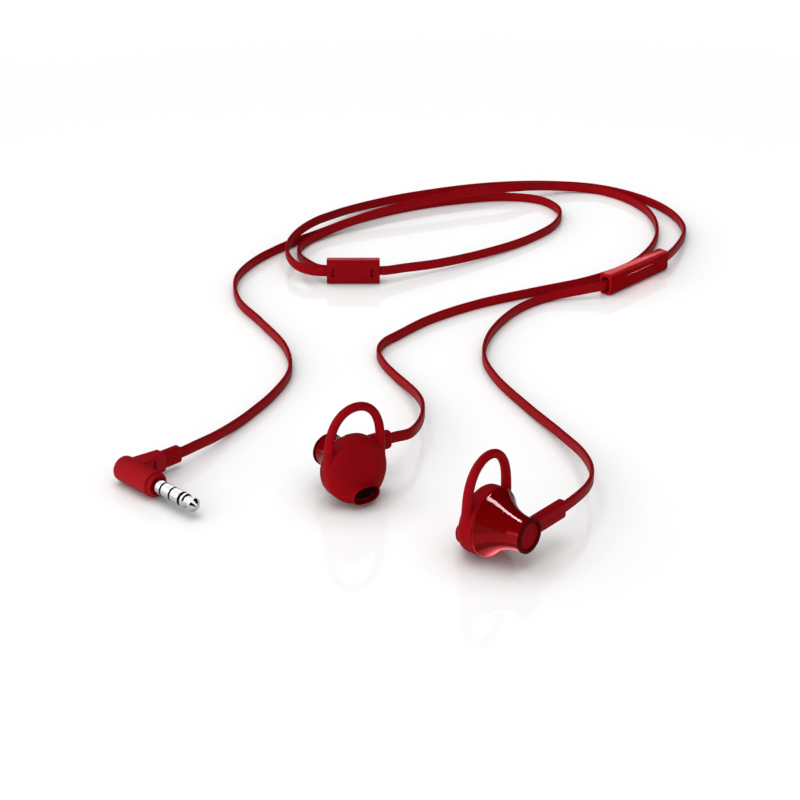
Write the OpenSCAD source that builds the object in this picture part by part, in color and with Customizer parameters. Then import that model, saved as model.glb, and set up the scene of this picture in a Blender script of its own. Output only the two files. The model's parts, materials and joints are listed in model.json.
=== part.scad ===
// Wired in-ear earphones: two earpieces with ear loops, a flat cable with a splitter
// and a remote, and an angled four-pole plug.
// Millimetres, +Z up, the floor at z = 0, the origin midway between the two earpieces.

/* [Ear tip] */
// Outer diameter of the silicone band
tip_d = 16.1; // [15:0.1:18]
// Wall of the silicone band
tip_wall = 0.9; // [0.7:0.05:1.2]
// Wall of the silicone nozzle
nozzle_wall = 0.6; // [0.4:0.05:0.8]
// Distance from the band's middle to its back edge
band_back = 2.2; // [1.6:0.1:3]
// Distance from the band's middle to the nozzle mouth
mouth_reach = 5.5; // [5.2:0.1:7]
// Width of the nozzle mouth
mouth_w = 7.3; // [6.4:0.1:8]
// Height of the nozzle mouth
mouth_h = 5.0; // [4.6:0.1:5.6]
// Drop of the nozzle below the earpiece's axis
mouth_drop = 4.5; // [3:0.1:5.2]
// Offset of the nozzle away from the cable side
mouth_side = 0.2; // [0:0.1:1]
// Tilt of the mouth towards the floor
mouth_tilt = 10; // [0:1:15]
// Height of the ear loop's crown above the axis, to the middle of its cord
loop_rise = 15.6; // [13:0.1:18]
// Thickness of the ear loop
loop_d = 2.1; // [1.8:0.1:2.6]
// Lean of the ear loop's crown towards the cable side
loop_lean = 0.5; // [0:0.1:1.5]

/* [Earpiece housing] */
// Wall of the rear housing and of the front housing
shell_wall = 0.9; // [0.7:0.05:1.1]
// Clearance between pieces that are pushed together
fit_gap = 0.05; // [0.02:0.01:0.1]
// Distance from the band's middle to the rear face
cap_at = 12.3; // [11.5:0.1:14]
// Diameter of the rear housing's neck
neck_d = 7.7; // [7.2:0.1:7.8]
// Outer diameter of the ring round the end cap
cap_d = 8.2; // [8:0.1:9]
// Width of the ring round the end cap
ring_w = 1.0; // [0.7:0.1:1.2]
// Thickness of the ring along the axis
ring_t = 0.7; // [0.6:0.1:1.4]
// Step from the band's outside down to the rear housing's rim
rim_step = 0.1; // [0.05:0.05:0.3]
// Thickness of the rear housing's rim at its edge
rim_t = 0.3; // [0.2:0.05:0.6]
// Depth of the end cap's face below the ring
cap_inset = 0.3; // [0.1:0.05:0.5]

/* [Earpiece strain relief] */
// Distance from the axis to the strain relief's end
relief_len = 15.6; // [13:0.2:20]
// Height of the strain relief
relief_h = 4.6; // [4:0.1:5]
// Thickness of the strain relief
relief_t = 2.5; // [2.3:0.1:2.8]
// Distance from the rear face to the strain relief's middle
relief_in = 2.8; // [2.6:0.1:3.2]
// Distance of the strain relief's middle below the axis
relief_drop = 0.3; // [0:0.1:0.5]

/* [Cable] */
// Width of the flat cable
cable_w = 2.7; // [2.4:0.1:2.8]
// Thickness of the flat cable
cable_t = 1.0; // [0.8:0.05:1.1]
// Clearance round the cable where it enters a piece
cable_gap = 0.1; // [0.05:0.01:0.15]
// Depth of the cable's seat in a strain relief
cable_seat = 2.0; // [1:0.1:3]

/* [Remote] */
// Length of the remote
remote_len = 28.6; // [26:0.2:34]
// Height of the remote as it stands
remote_h = 6.2; // [6:0.1:7]
// Thickness of the remote
remote_t = 4.2; // [4:0.1:5]
// Corner radius of the remote's section
remote_r = 1.1; // [0.8:0.1:1.4]
// Wall of the remote's two shells
remote_wall = 0.7; // [0.6:0.05:0.8]
// Depth of the open recess at each end
remote_recess = 1.6; // [1:0.1:2]
// Length of the button
button_len = 14.0; // [10:0.5:15]
// Height of the button
button_h = 2.8; // [2.4:0.1:3]
// Clearance round the button
button_gap = 0.12; // [0.08:0.01:0.2]
// Height of the button above the shell
button_proud = 0.25; // [0.1:0.05:0.4]
// Travel of the button
button_travel = 0.35; // [0.2:0.05:0.4]

/* [Splitter] */
// Length of the splitter
splitter_len = 15.6; // [14:0.2:18]
// Height of the splitter
splitter_h = 7.2; // [6.6:0.1:8]
// Thickness of the splitter
splitter_t = 4.4; // [4.4:0.1:5.4]
// Corner radius of the splitter's section
splitter_r = 1.3; // [0.8:0.1:1.8]
// Spacing of the two cables that leave side by side
branch_pitch = 2.0; // [1.8:0.1:2.2]

/* [Plug] */
// Diameter of the contact pin
pin_d = 3.5; // [3.5:0.1:3.5]
// Length of the contact pin in front of the barrel
pin_len = 14.5; // [14:0.5:15]
// Diameter of the barrel
barrel_d = 6.3; // [5.6:0.1:7]
// Length of the barrel
barrel_len = 13.6; // [13:0.2:15]
// Distance from the barrel's rear end to the arm's middle
arm_in = 4.2; // [3.8:0.1:4.6]
// Distance from the barrel's axis to the end of the arm
arm_len = 8.6; // [7.6:0.2:10]
// Width of the arm at the barrel
arm_base = 5.8; // [5:0.1:6.4]
// Width of the arm at its end
arm_w = 3.4; // [3.2:0.1:4]
// Height of the arm at its end
arm_h = 5.0; // [4.4:0.1:5.2]
// Rise of the arm's middle above the barrel's middle
arm_rise = 0.4; // [0:0.05:0.5]
// Distance from the barrel's axis to the end of the strain relief
plug_relief_len = 13.8; // [13:0.2:18]
// Height of the plug's strain relief
plug_relief_h = 4.2; // [3.6:0.1:4.6]
// Thickness of the plug's strain relief
plug_relief_t = 2.4; // [2.3:0.1:2.8]

/* [Hidden] */
$fn = 64;
red = [0.62, 0.05, 0.08];
red_dark = [0.3, 0.02, 0.03];
soft_red = [0.52, 0.05, 0.07];
steel = [0.75, 0.75, 0.77];
black = [0.05, 0.05, 0.05];
board_green = [0.1, 0.35, 0.2];
copper = [0.8, 0.5, 0.3];

// Places of the pieces on the floor
right_at = [10.53, -15.55];
right_yaw = -40;
left_at = [-18.77, 8.95];
left_yaw = 123;
remote_at = [60.8, 146.9];
remote_yaw = 47.6;
splitter_at = [-22.1, 146.4];
plug_at = [-64.6, 9.7];
plug_yaw = -45.5;

// Earpiece: +X to the rear cap, +Y to the cable, the origin on the axis at the band's middle
tip_r = tip_d / 2;
axis_z = tip_r;
neck_half_w = mouth_w / 2 - 0.35;
neck_half_h = mouth_h / 2 - 0.3;
neck_fwd = mouth_reach - 1.1;
nozzle_end = neck_fwd + 0.2;
mesh_t = 0.25;
horn_r = tip_r - tip_wall - fit_gap;
horn_end = cap_at - ring_t;
neck_r = neck_d / 2;
neck_x = horn_end - 0.6;
rim_r = tip_r - rim_step;
rim_x = band_back + fit_gap;
band_edge = 0.15;
flare_dx = neck_x - rim_x - rim_t;
flare_dr = rim_r - neck_r;
flare_r = (flare_dx * flare_dx + flare_dr * flare_dr) / (2 * flare_dr);
seat_r = horn_r - shell_wall;
bore_r = neck_r - shell_wall;
frame_r = 6.15;
frame_lip = 4.95;
frame_back = 4.75;
frame_bore = 4.15;
board_w = 3.2;
board_h = 4.8;
film_r = 5.7;
film_roll = 3.9;
driver_depth = 2.3;
driver_k = (seat_r - fit_gap) / frame_r;
driver_seat = 1.3 * driver_k;
relief_x = cap_at - relief_in;
relief_root = bore_r + 0.1;
loop_half = tip_r - loop_d / 2;
loop_x = 0.13;
foot_r = tip_r - tip_wall / 2;
foot_angle = 14;
loop_foot = tip_r * 0.37;
slot_w = cable_w + 2 * cable_gap;
slot_t = cable_t + 2 * cable_gap;

// Remote: +X to the splitter's end, -Y to the button
split_y = 0.5;
bush_out = remote_len / 2 - remote_recess;
bush_t = 1.8;
bush_seat = 1.2;
face_y = -remote_t / 2;
wall_y = face_y + remote_wall;
back_y = remote_t / 2 - remote_wall;
board_t = 0.5;
board_back = back_y - 0.2;
board_front = board_back - board_t;
dome_t = 0.3;
flange_t = 0.4;
flange_lip = 0.5;
cavity_h = remote_h - 2 * remote_wall;
cavity_t = remote_t - 2 * remote_wall;
room_x = bush_out - bush_t;
mic_x = -room_x + 2.2;

// Splitter: the core that the cable ends meet
core_inset = 3.2;
vent_at = [-0.405, 0.33];
core_len = splitter_len - 2 * core_inset;
core_h = 4.4;
core_t = splitter_t - 1.2;

// Plug: +X along the pin, +Y along the arm, the origin at the barrel's front face
pin_r = pin_d / 2;
barrel_r = barrel_d / 2;
arm_x = -(barrel_len - arm_in);
recess_d = 0.5;
front_len = 1.2;
front_gap = 0.35;
front_r = barrel_r - 0.15;
front_bevel = 0.6;
arm_slot_at = 4.5;
arm_slot_w = 0.6;
arm_slot_h = 2.4;
collar_w = 0.6;
collar_at = [2.3, 5.6, 8.9];
core_r = pin_r - 0.75;
rod_r = 0.5;
stub_len = 6.0;
stub_r = pin_r - 0.35;
root_x = 0.2;
groove_at = pin_len - 4.2;
tip_from = collar_at[2] + collar_w;

// Helpers

function mix(a, b, s) = a + (b - a) * s;
function ease(u) = (1 - cos(180 * u)) / 2;
function signed_pow(v, p) = sign(v) * pow(abs(v), p);
function unit(v) = v / norm(v);
function put(p, at, z, yaw) = [
    at[0] + p[0] * cos(yaw) - p[1] * sin(yaw),
    at[1] + p[0] * sin(yaw) + p[1] * cos(yaw),
    z + p[2]
];

// One ring of a shell: a station is [forward, half width, half height, side, drop, power, tilt]
function ring(st, n = 32) = [
    for (i = [0 : n - 1])
        let (
            a = 360 * i / n,
            y = st[1] * signed_pow(cos(a), 2 / st[5]),
            z = st[2] * signed_pow(sin(a), 2 / st[5])
        )
        [-(st[0] + z * tan(st[6])), y - st[3], z - st[4]]
];

function wall_faces(m, n, closed) = [
    for (i = [0 : m - (closed ? 1 : 2)])
        for (j = [0 : n - 1])
            let (
                a = i * n + j,
                b = i * n + (j + 1) % n,
                c = ((i + 1) % m) * n + (j + 1) % n,
                d = ((i + 1) % m) * n + j
            )
            each [[a, b, c], [a, c, d]]
];

// Solid through a row of rings, closed by a cap at each end
module loft(rings) {
    m = len(rings);
    n = len(rings[0]);
    caps = [
        [for (j = [n - 1 : -1 : 0]) j],
        [for (j = [0 : n - 1]) (m - 1) * n + j]
    ];
    polyhedron(
        points = [for (r = rings) each r],
        faces = concat(wall_faces(m, n, false), caps)
    );
}

// Solid through a closed row of rings: out along the outside and back along the inside
module loft_tube(rings) {
    polyhedron(
        points = [for (r = rings) each r],
        faces = wall_faces(len(rings), len(rings[0]), true)
    );
}

module rounded(w, h, r) {
    square([w - 2 * r, h], center = true);
    square([w, h - 2 * r], center = true);
    for (x = [-1, 1])
        for (y = [-1, 1])
            translate([x * (w / 2 - r), y * (h / 2 - r)])
                circle(r = r);
}

module chamfered(w, h, c) {
    polygon([
        [w / 2, -(h / 2 - c)], [w / 2, h / 2 - c], [w / 2 - c, h / 2], [-(w / 2 - c), h / 2],
        [-w / 2, h / 2 - c], [-w / 2, -(h / 2 - c)], [-(w / 2 - c), -h / 2], [w / 2 - c, -h / 2]
    ]);
}

// A section drawn in (Y, Z), run along +X
module along_x(len) {
    rotate([90, 0, 90])
        linear_extrude(len)
            children();
}

// A section drawn in (X, Z), run along +Y
module along_y(len) {
    translate([0, len, 0])
        rotate([90, 0, 0])
            linear_extrude(len)
                children();
}

// A profile drawn as (radius, distance), turned about +X
module turned() {
    rotate([0, 90, 0])
        rotate_extrude()
            children();
}

module at_right() {
    translate([right_at[0], right_at[1], axis_z])
        rotate([0, 0, right_yaw])
            children();
}

module at_left() {
    translate([left_at[0], left_at[1], axis_z])
        rotate([0, 0, left_yaw])
            mirror([0, 1, 0])
                children();
}

module at_remote() {
    translate([remote_at[0], remote_at[1], remote_h / 2])
        rotate([0, 0, remote_yaw])
            children();
}

module at_splitter() {
    translate([splitter_at[0], splitter_at[1], splitter_h / 2])
        children();
}

module at_plug() {
    translate([plug_at[0], plug_at[1], barrel_r])
        rotate([0, 0, plug_yaw])
            children();
}

// Ear tip

// The dome runs from the band at u = 0 to the nozzle's neck at u = 1; gap is the depth below its skin
function dome(u, gap) =
    let (
        s = ease(pow(u, 1.7)),
        power = mix(2, 2.5, s)
    )
    [
        u * neck_fwd - 0.8 * gap * sin(180 * pow(u, 1.7)),
        mix(tip_r, neck_half_w, s) - gap,
        mix(tip_r, neck_half_h, s) - gap,
        mouth_side * s,
        mouth_drop * s,
        power,
        0
    ];

dome_steps = [0.16, 0.3, 0.42, 0.52, 0.61, 0.69, 0.77, 0.85, 0.93, 1];
function tip_gap(u) = mix(tip_wall, nozzle_wall, u);
function housing_wall(u) = mix(shell_wall, 0.5, u);

// Out along the outside from the band to the lip, and back along the inside
module ear_tip() {
    lip = [mouth_w / 2, mouth_h / 2];
    mouth = [lip[0] - nozzle_wall, lip[1] - nozzle_wall];
    inner_r = tip_r - tip_wall;
    last = len(dome_steps) - 1;
    loft_tube(concat(
        [
            ring([-band_back, tip_r - band_edge, tip_r - band_edge, 0, 0, 2, 0]),
            ring([-band_back + band_edge, tip_r, tip_r, 0, 0, 2, 0]),
            ring([0, tip_r, tip_r, 0, 0, 2, 0])
        ],
        [for (u = dome_steps) ring(dome(u, 0))],
        [
            ring([mouth_reach - 0.75, lip[0] - 0.12, lip[1] - 0.1, mouth_side, mouth_drop, 2.5, mouth_tilt]),
            ring([mouth_reach - 0.35, lip[0], lip[1], mouth_side, mouth_drop, 2.5, mouth_tilt]),
            ring([mouth_reach, lip[0] - 0.25, lip[1] - 0.25, mouth_side, mouth_drop, 2.5, mouth_tilt]),
            ring([mouth_reach - 0.1, mouth[0], mouth[1], mouth_side, mouth_drop, 2.5, mouth_tilt]),
            ring([neck_fwd + 0.5, neck_half_w - nozzle_wall, neck_half_h - nozzle_wall,
                mouth_side, mouth_drop, 2.5, 0])
        ],
        [for (i = [last : -1 : 0]) ring(dome(dome_steps[i], tip_gap(dome_steps[i])))],
        [
            ring([0, inner_r, inner_r, 0, 0, 2, 0]),
            ring([-band_back, inner_r, inner_r, 0, 0, 2, 0])
        ]
    ));
}

function loop_point(t) = [
    loop_x,
    loop_half * cos(t) + loop_lean * sin(t),
    loop_foot + (loop_rise - loop_foot) * pow(max(0, sin(t)), 0.64)
];
loop_steps = [0, 1, 2.5, 5, 9, 15, 23, 33, 45, 57, 68, 79, 90];
loop_path = concat(
    [[loop_x, foot_r * cos(foot_angle), foot_r * sin(foot_angle)]],
    [for (t = loop_steps) loop_point(t)],
    [for (i = [len(loop_steps) - 2 : -1 : 0]) loop_point(180 - loop_steps[i])],
    [[loop_x, -foot_r * cos(foot_angle), foot_r * sin(foot_angle)]]
);

// Half thickness in the loop's plane: full above the band, thin where a leg runs into the wall
function loop_half_t(p) =
    max(tip_wall * 0.38, min(loop_d / 2, norm([p[1], p[2]]) - tip_r + tip_wall - fit_gap));

// One ring of the loop, square to the path at its point i
function loop_ring(i, n = 12) =
    let (
        last = len(loop_path) - 1,
        t = unit(loop_path[min(i + 1, last)] - loop_path[max(i - 1, 0)]),
        half = loop_half_t(loop_path[i])
    )
    [
        for (k = [0 : n - 1])
            let (a = 360 * (k + 0.5) / n)
            loop_path[i] + [loop_d / 2 * cos(a), -half * sin(a) * t[2], half * sin(a) * t[1]]
    ];

// The loop's feet end inside the tip's wall
module ear_loop() {
    loft([for (i = [0 : len(loop_path) - 1]) loop_ring(i)]);
}

// Earpiece housing

function housing_ring(u, depth) = ring(dome(u, tip_gap(u) + fit_gap + depth * housing_wall(u)));

module front_housing() {
    end = [neck_half_w - nozzle_wall - fit_gap, neck_half_h - nozzle_wall - fit_gap];
    inner = seat_r;
    loft_tube(concat(
        [ring([0, horn_r, horn_r, 0, 0, 2, 0])],
        [for (u = dome_steps) housing_ring(u, 0)],
        [
            ring([nozzle_end, end[0], end[1], mouth_side, mouth_drop, 2.5, 0]),
            ring([nozzle_end, end[0] - 0.5, end[1] - 0.5, mouth_side, mouth_drop, 2.5, 0])
        ],
        [for (i = [len(dome_steps) - 1 : -1 : 0]) housing_ring(dome_steps[i], 1)],
        [ring([0, inner, inner, 0, 0, 2, 0])]
    ));
}

// The perforated plate that closes the nozzle
module nozzle_mesh() {
    half = [neck_half_w - nozzle_wall - 2 * fit_gap, neck_half_h - nozzle_wall - 2 * fit_gap];
    outline = [for (p = ring([0, half[0], half[1], 0, 0, 2.5, 0])) [p[1], p[2]]];
    translate([-nozzle_end - mesh_t, -mouth_side, -mouth_drop])
        difference() {
            along_x(mesh_t)
                polygon(outline);
            for (y = [-2 : 2])
                for (z = [-1 : 1])
                    translate([-1, y * half[0] / 3.2, z * half[1] / 2.2])
                        rotate([0, 90, 0])
                            cylinder(d = 0.45, h = mesh_t + 2, $fn = 16);
        }
}

// The collar inside the band, and the bell behind it
module horn_profile() {
    difference() {
        union() {
            square([horn_r, horn_end]);
            translate([0, rim_x])
                square([rim_r, horn_end - rim_x]);
        }
        translate([neck_r + flare_r, neck_x])
            circle(r = flare_r, $fn = 180);
    }
}

module horn_hollow() {
    square([seat_r, driver_seat]);
    difference() {
        square([seat_r - 0.6, horn_end + 1]);
        translate([neck_r + flare_r, neck_x])
            circle(r = flare_r + shell_wall, $fn = 180);
    }
}

module rear_housing() {
    difference() {
        turned()
            difference() {
                horn_profile();
                horn_hollow();
            }
        translate([relief_x, 0, -relief_drop])
            along_y(tip_r)
                chamfered(relief_t + 2 * fit_gap, relief_h + 2 * fit_gap, 0.6);
    }
}

module cap_ring() {
    turned()
        difference() {
            translate([0, horn_end])
                square([cap_d / 2, ring_t]);
            translate([-1, horn_end - 1])
                square([cap_d / 2 - ring_w + 1, ring_t + 2]);
            translate([cap_d / 2, cap_at])
                rotate(45)
                    square(0.3, center = true);
        }
}

// The disc behind the ring and the stub that holds it in the neck
module end_cap() {
    turned()
        union() {
            translate([0, horn_end])
                square([cap_d / 2 - ring_w - fit_gap, ring_t - cap_inset]);
            translate([0, horn_end - 0.9])
                square([bore_r - fit_gap, 1]);
        }
}

// Leaves the neck sideways; the cable ends in its slot
module strain_relief() {
    difference() {
        translate([relief_x, relief_root, -relief_drop])
            along_y(relief_len - relief_root)
                chamfered(relief_t, relief_h, 0.6);
        translate([relief_x, relief_len - cable_seat, -relief_drop])
            along_y(cable_seat + 1)
                square([slot_t, slot_w], center = true);
    }
}

// Driver, drawn 12.3 mm across and scaled to its seat

module driver_frame() {
    scale(driver_k)
        turned()
            polygon([
                [frame_r, 0.1], [frame_r, 1.3], [frame_back, 1.3], [frame_back, driver_depth],
                [frame_bore, driver_depth], [frame_bore, 0.9], [frame_lip, 0.6], [frame_lip, 0.1]
            ]);
}

module diaphragm() {
    scale(driver_k)
        turned()
            polygon([
                [0, -0.45], [1.5, -0.3], [2.6, 0.1], [3.05, 0.35], [film_roll, 0.15],
                [frame_lip, -0.05], [film_r, -0.05], [film_r, 0.1], [frame_lip, 0.1],
                [film_roll, 0.32], [3.2, 0.65], [2.9, 0.65], [2.5, 0.3], [1.5, -0.12], [0, -0.28]
            ]);
}

module voice_coil() {
    scale(driver_k)
        turned()
            translate([2.9, 0.65])
                square([0.3, 1.35]);
}

module pole_plate() {
    scale(driver_k)
        turned()
            translate([0, 1.2])
                square([2.8, 0.6]);
}

module magnet() {
    scale(driver_k)
        turned()
            translate([0, 1.8])
                square([2.8, 1.3]);
}

module yoke() {
    scale(driver_k)
        turned()
            polygon([[0, 3.1], [3.35, 3.1], [3.35, 1.2], [4.1, 1.2], [4.1, 3.9], [0, 3.9]]);
}

module driver_board() {
    scale(driver_k)
        translate([3.9, -board_w / 2, -board_h / 2])
            cube([0.6, board_w, board_h]);
}

// Remote

// Oval openings at the ends, and a room with small corners between the bushes
module remote_shell() {
    difference() {
        translate([-remote_len / 2, 0, 0])
            along_x(remote_len)
                difference() {
                    rounded(remote_t, remote_h, remote_r);
                    rounded(cavity_t, cavity_h, cavity_t / 2 - 0.1);
                }
        translate([-room_x, 0, 0])
            along_x(2 * room_x)
                rounded(cavity_t, cavity_h, remote_r - remote_wall);
    }
}

module pill(len, h) {
    square([len - h, h], center = true);
    for (x = [-1, 1])
        translate([x * (len - h) / 2, 0])
            circle(d = h);
}

module remote_front() {
    difference() {
        remote_shell();
        translate([-remote_len, split_y, -remote_h])
            cube([2 * remote_len, remote_t, 2 * remote_h]);
        translate([0, face_y - 1, 0])
            along_y(remote_wall + 1.2)
                pill(button_len + 2 * button_gap, button_h + 2 * button_gap);
    }
}

module remote_rear() {
    difference() {
        union() {
            remote_shell();
            for (x = [-1, 1])
                translate([x * room_x * 0.7 - 0.6, board_back, -cavity_h / 2 + 0.2])
                    cube([1.2, back_y - board_back + 0.2, cavity_h - 0.4]);
        }
        translate([-remote_len, split_y - remote_t, -remote_h])
            cube([2 * remote_len, remote_t, 2 * remote_h]);
        translate([mic_x, 0, 0])
            along_y(remote_t)
                circle(d = 0.7, $fn = 24);
    }
}

// Pill, flange behind the shell and stem to the switch
module button() {
    stem_end = board_front - dome_t - button_travel - 0.05;
    translate([0, face_y - button_proud, 0])
        along_y(button_proud + remote_wall + 0.05)
            pill(button_len, button_h);
    translate([0, wall_y + 0.05, 0])
        along_y(flange_t)
            pill(button_len + 2 * flange_lip, button_h + 2 * flange_lip);
    translate([0, wall_y + 0.05 + flange_t, 0])
        along_y(stem_end - wall_y - 0.05 - flange_t)
            circle(d = 1.6);
}

module board() {
    length = 2 * room_x - 0.4;
    difference() {
        translate([-length / 2, board_front, -cavity_h / 2 + 0.4])
            cube([length, board_t, cavity_h - 0.8]);
        translate([mic_x, 0, 0])
            along_y(remote_t)
                circle(d = 0.7, $fn = 24);
    }
}

module dome_spring() {
    translate([0, board_front - dome_t, 0])
        along_y(dome_t)
            circle(d = 3.2);
}

module mic() {
    translate([mic_x, board_front - 0.9, 0])
        along_y(0.9)
            circle(d = 2.4);
}

// The block in each end of the remote that the cable enters
module bush() {
    difference() {
        translate([bush_out - bush_t, 0, 0])
            along_x(bush_t)
                rounded(cavity_t - 2 * fit_gap, cavity_h - 2 * fit_gap, cavity_t / 2 - 0.1 - fit_gap);
        translate([bush_out - bush_seat, 0, 0])
            along_x(bush_seat + 1)
                square([slot_t, slot_w], center = true);
    }
}

// Splitter

// A bracket-shaped vent, open to +X
module vent() {
    translate([0, -1.2])
        square([0.45, 2.4]);
    translate([0, -1.2])
        square([0.9, 0.45]);
    translate([0, 0.75])
        square([0.9, 0.45]);
}

module splitter_shell() {
    difference() {
        intersection() {
            translate([-splitter_len / 2, 0, 0])
                along_x(splitter_len)
                    rounded(splitter_t, splitter_h, splitter_r);
            translate([0, -splitter_t, 0])
                along_y(2 * splitter_t)
                    rounded(splitter_len, splitter_h, 0.5);
        }
        translate([-core_len / 2 - fit_gap, -core_t / 2 - fit_gap, -core_h / 2 - fit_gap])
            cube([core_len + 2 * fit_gap, core_t + 2 * fit_gap, core_h + 2 * fit_gap]);
        along_x(splitter_len)
            square([slot_t, slot_w], center = true);
        for (y = [-1, 1])
            translate([-splitter_len, y * branch_pitch / 2, 0])
                along_x(splitter_len)
                    square([slot_t, slot_w], center = true);
        for (x = vent_at)
            translate([x * splitter_len, -splitter_t / 2 - 1, 0])
                along_y(1.4)
                    vent();
    }
}

module splitter_joint() {
    translate([-core_len / 2, -core_t / 2, -core_h / 2])
        cube([core_len, core_t, core_h]);
}

// Plug

module barrel_profile() {
    soft = 0.8;
    front = front_len - front_gap;
    difference() {
        union() {
            translate([0, -barrel_len])
                square([barrel_r - soft, barrel_len]);
            translate([0, -barrel_len + soft])
                square([barrel_r, barrel_len - soft - front_len]);
            translate([barrel_r - soft, -barrel_len + soft])
                circle(r = soft);
            polygon([
                [0, -front], [front_r, -front], [front_r, -front_bevel], [front_r - front_bevel, 0], [0, 0]
            ]);
        }
        translate([-barrel_r, -barrel_len - 1])
            square([barrel_r, barrel_len + 2]);
        translate([0, -recess_d])
            square([pin_r + 0.35, recess_d + 1]);
        translate([0, -stub_len - fit_gap])
            square([stub_r + fit_gap, stub_len + 1]);
    }
}

module arm() {
    translate([arm_x, 0, arm_rise])
        hull() {
            translate([0, 0.5, 0])
                along_y(0.5)
                    rounded(arm_base, arm_h, 0.6);
            translate([0, arm_len - 0.5, 0])
                along_y(0.5)
                    rounded(arm_w, arm_h, 0.6);
        }
}

module plug_shell() {
    difference() {
        union() {
            turned()
                barrel_profile();
            difference() {
                arm();
                turned()
                    translate([0, -barrel_len])
                        square([barrel_r - 0.4, barrel_len]);
            }
        }
        translate([arm_x + arm_w / 2 - 0.2, arm_slot_at, arm_rise - arm_slot_h / 2])
            cube([arm_base, arm_slot_w, arm_slot_h]);
    }
}

module plug_relief() {
    difference() {
        translate([arm_x, arm_len, arm_rise])
            along_y(plug_relief_len - arm_len)
                chamfered(plug_relief_t, plug_relief_h, 0.45);
        translate([arm_x, plug_relief_len - cable_seat, arm_rise])
            along_y(cable_seat + 1)
                square([slot_t, slot_w], center = true);
    }
}

// Head with its groove, and the rod that runs back through the pin
module tip_contact() {
    r = pin_r;
    turned()
        polygon([
            [0, -stub_len], [rod_r, -stub_len], [rod_r, tip_from], [r, tip_from], [r, groove_at],
            [r - 0.5, pin_len - 3.4], [r - 0.5, pin_len - 3], [r - 0.1, pin_len - 2.4],
            [r - 0.15, pin_len - 2.1], [r - 1.1, pin_len - 0.25], [r - 1.3, pin_len], [0, pin_len]
        ]);
}

module contact_tube(from, to) {
    turned()
        translate([core_r, from])
            square([pin_r - core_r, to - from]);
}

module sleeve_contact() {
    turned()
        polygon([
            [core_r, -stub_len], [stub_r, -stub_len], [stub_r, root_x], [pin_r, root_x],
            [pin_r, collar_at[0]], [core_r, collar_at[0]]
        ]);
}

// Insulating tube with the three collars that show between the contacts
module insulator() {
    turned()
        difference() {
            union() {
                translate([0, -stub_len])
                    square([core_r, stub_len + tip_from]);
                for (x = collar_at)
                    translate([0, x])
                        square([pin_r, collar_w]);
            }
            translate([-1, -stub_len - 1])
                square([rod_r + 1, stub_len + tip_from + 2]);
        }
}

// Cables: the flat cable stands on its edge, each one runs through its own points

lie = cable_w / 2;
lead = 1.6;
split_z = splitter_h / 2;
split_x = splitter_len / 2;
core_x = core_len / 2;
bush_x = bush_out - bush_seat;
half_pitch = branch_pitch / 2;
remote_half = remote_len / 2;

function right_end(d) = put([relief_x, relief_len + d, -relief_drop], right_at, axis_z, right_yaw);
function left_end(d) = put([relief_x, -relief_len - d, -relief_drop], left_at, axis_z, left_yaw);
function plug_end(d) = put([arm_x, plug_relief_len + d, arm_rise], plug_at, barrel_r, plug_yaw);
function remote_end(x) = put([x, 0, 0], remote_at, remote_h / 2, remote_yaw);
function split_end(x, y) = put([x, y, 0], splitter_at, split_z, 0);

main_route = concat(
    [plug_end(-cable_seat), plug_end(lead)],
    [
        [-57.4, 31.3, 3.2], [-54.2, 36.6, 2.5], [-50.7, 43.4, 1.75], [-46.4, 52, lie], [-41, 64.3, lie],
        [-37.5, 78.8, lie], [-39.5, 94.3, lie], [-47, 111.8, lie], [-54.5, 127.8, lie], [-56.5, 144.8, lie],
        [-52, 159.8, lie], [-42.5, 174.3, lie], [-34, 183.6, lie], [-22, 196.6, lie], [-6.5, 207.8, lie],
        [10, 215.1, lie], [26, 218.5, lie], [37.5, 215, lie], [42.8, 204.8, lie], [40.5, 191.8, lie],
        [31.5, 178.8, lie], [17.5, 165.8, 1.7], [3, 155.3, 2.4], [-7, 149.8, 3.1]
    ],
    [split_end(split_x + lead, 0), split_end(core_x, 0)]
);

left_route = concat(
    [left_end(-cable_seat), left_end(lead)],
    [
        [-6.3, 29.3, 7.1], [-4.4, 34.3, 6.3], [-3.1, 41, 5.4], [-2.6, 47.8, 4.5], [-2.9, 54.6, 3.6],
        [-4.2, 61.4, 2.7], [-6.6, 68.6, 1.9], [-9.7, 76, 1.45], [-12.8, 84, lie], [-14.2, 91.3, lie],
        [-12.8, 97.6, lie], [-9, 103, lie], [0, 114.3, lie], [14, 125.8, lie], [31, 135.3, lie],
        [46.5, 143.6, lie], [59.5, 154.8, lie], [68, 169.8, lie], [72.2, 186.8, lie], [71, 204.8, lie],
        [64.5, 218.3, lie], [55.5, 225.8, lie], [44.5, 226.1, 2.2], [34.5, 221.3, 3.9], [26, 216.6, 4.9],
        [13, 211.8, 4.9], [-2, 204.4, 4.5], [-16.5, 196.2, 3.5], [-27.8, 187.4, 2.3], [-32, 183, 1.8],
        [-35.8, 178.6, 1.5], [-39, 170.8, lie], [-38.6, 162.8, 1.7], [-35.8, 154, 2.9]
    ],
    [split_end(-split_x - lead, half_pitch), split_end(-core_x, half_pitch)]
);

right_upper_route = concat(
    [remote_end(bush_x), remote_end(remote_half + lead)],
    [
        [77.5, 172.8, 2.4], [80.7, 187.8, 1.5], [78, 203.8, lie], [70, 217.1, lie], [56.5, 227.3, lie],
        [38.5, 230.7, lie], [20, 228.6, lie], [1.5, 222, lie], [-14.5, 213.3, lie], [-24.5, 203.8, 2.1],
        [-30.5, 194.3, 3.4], [-35, 185.8, 4.5], [-39.5, 176.3, 4.7], [-42, 166.3, 4.7], [-42, 157.3, 4.5],
        [-39, 149.3, 4.1], [-35, 146, 3.8]
    ],
    [split_end(-split_x - lead, -half_pitch), split_end(-core_x, -half_pitch)]
);

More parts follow.
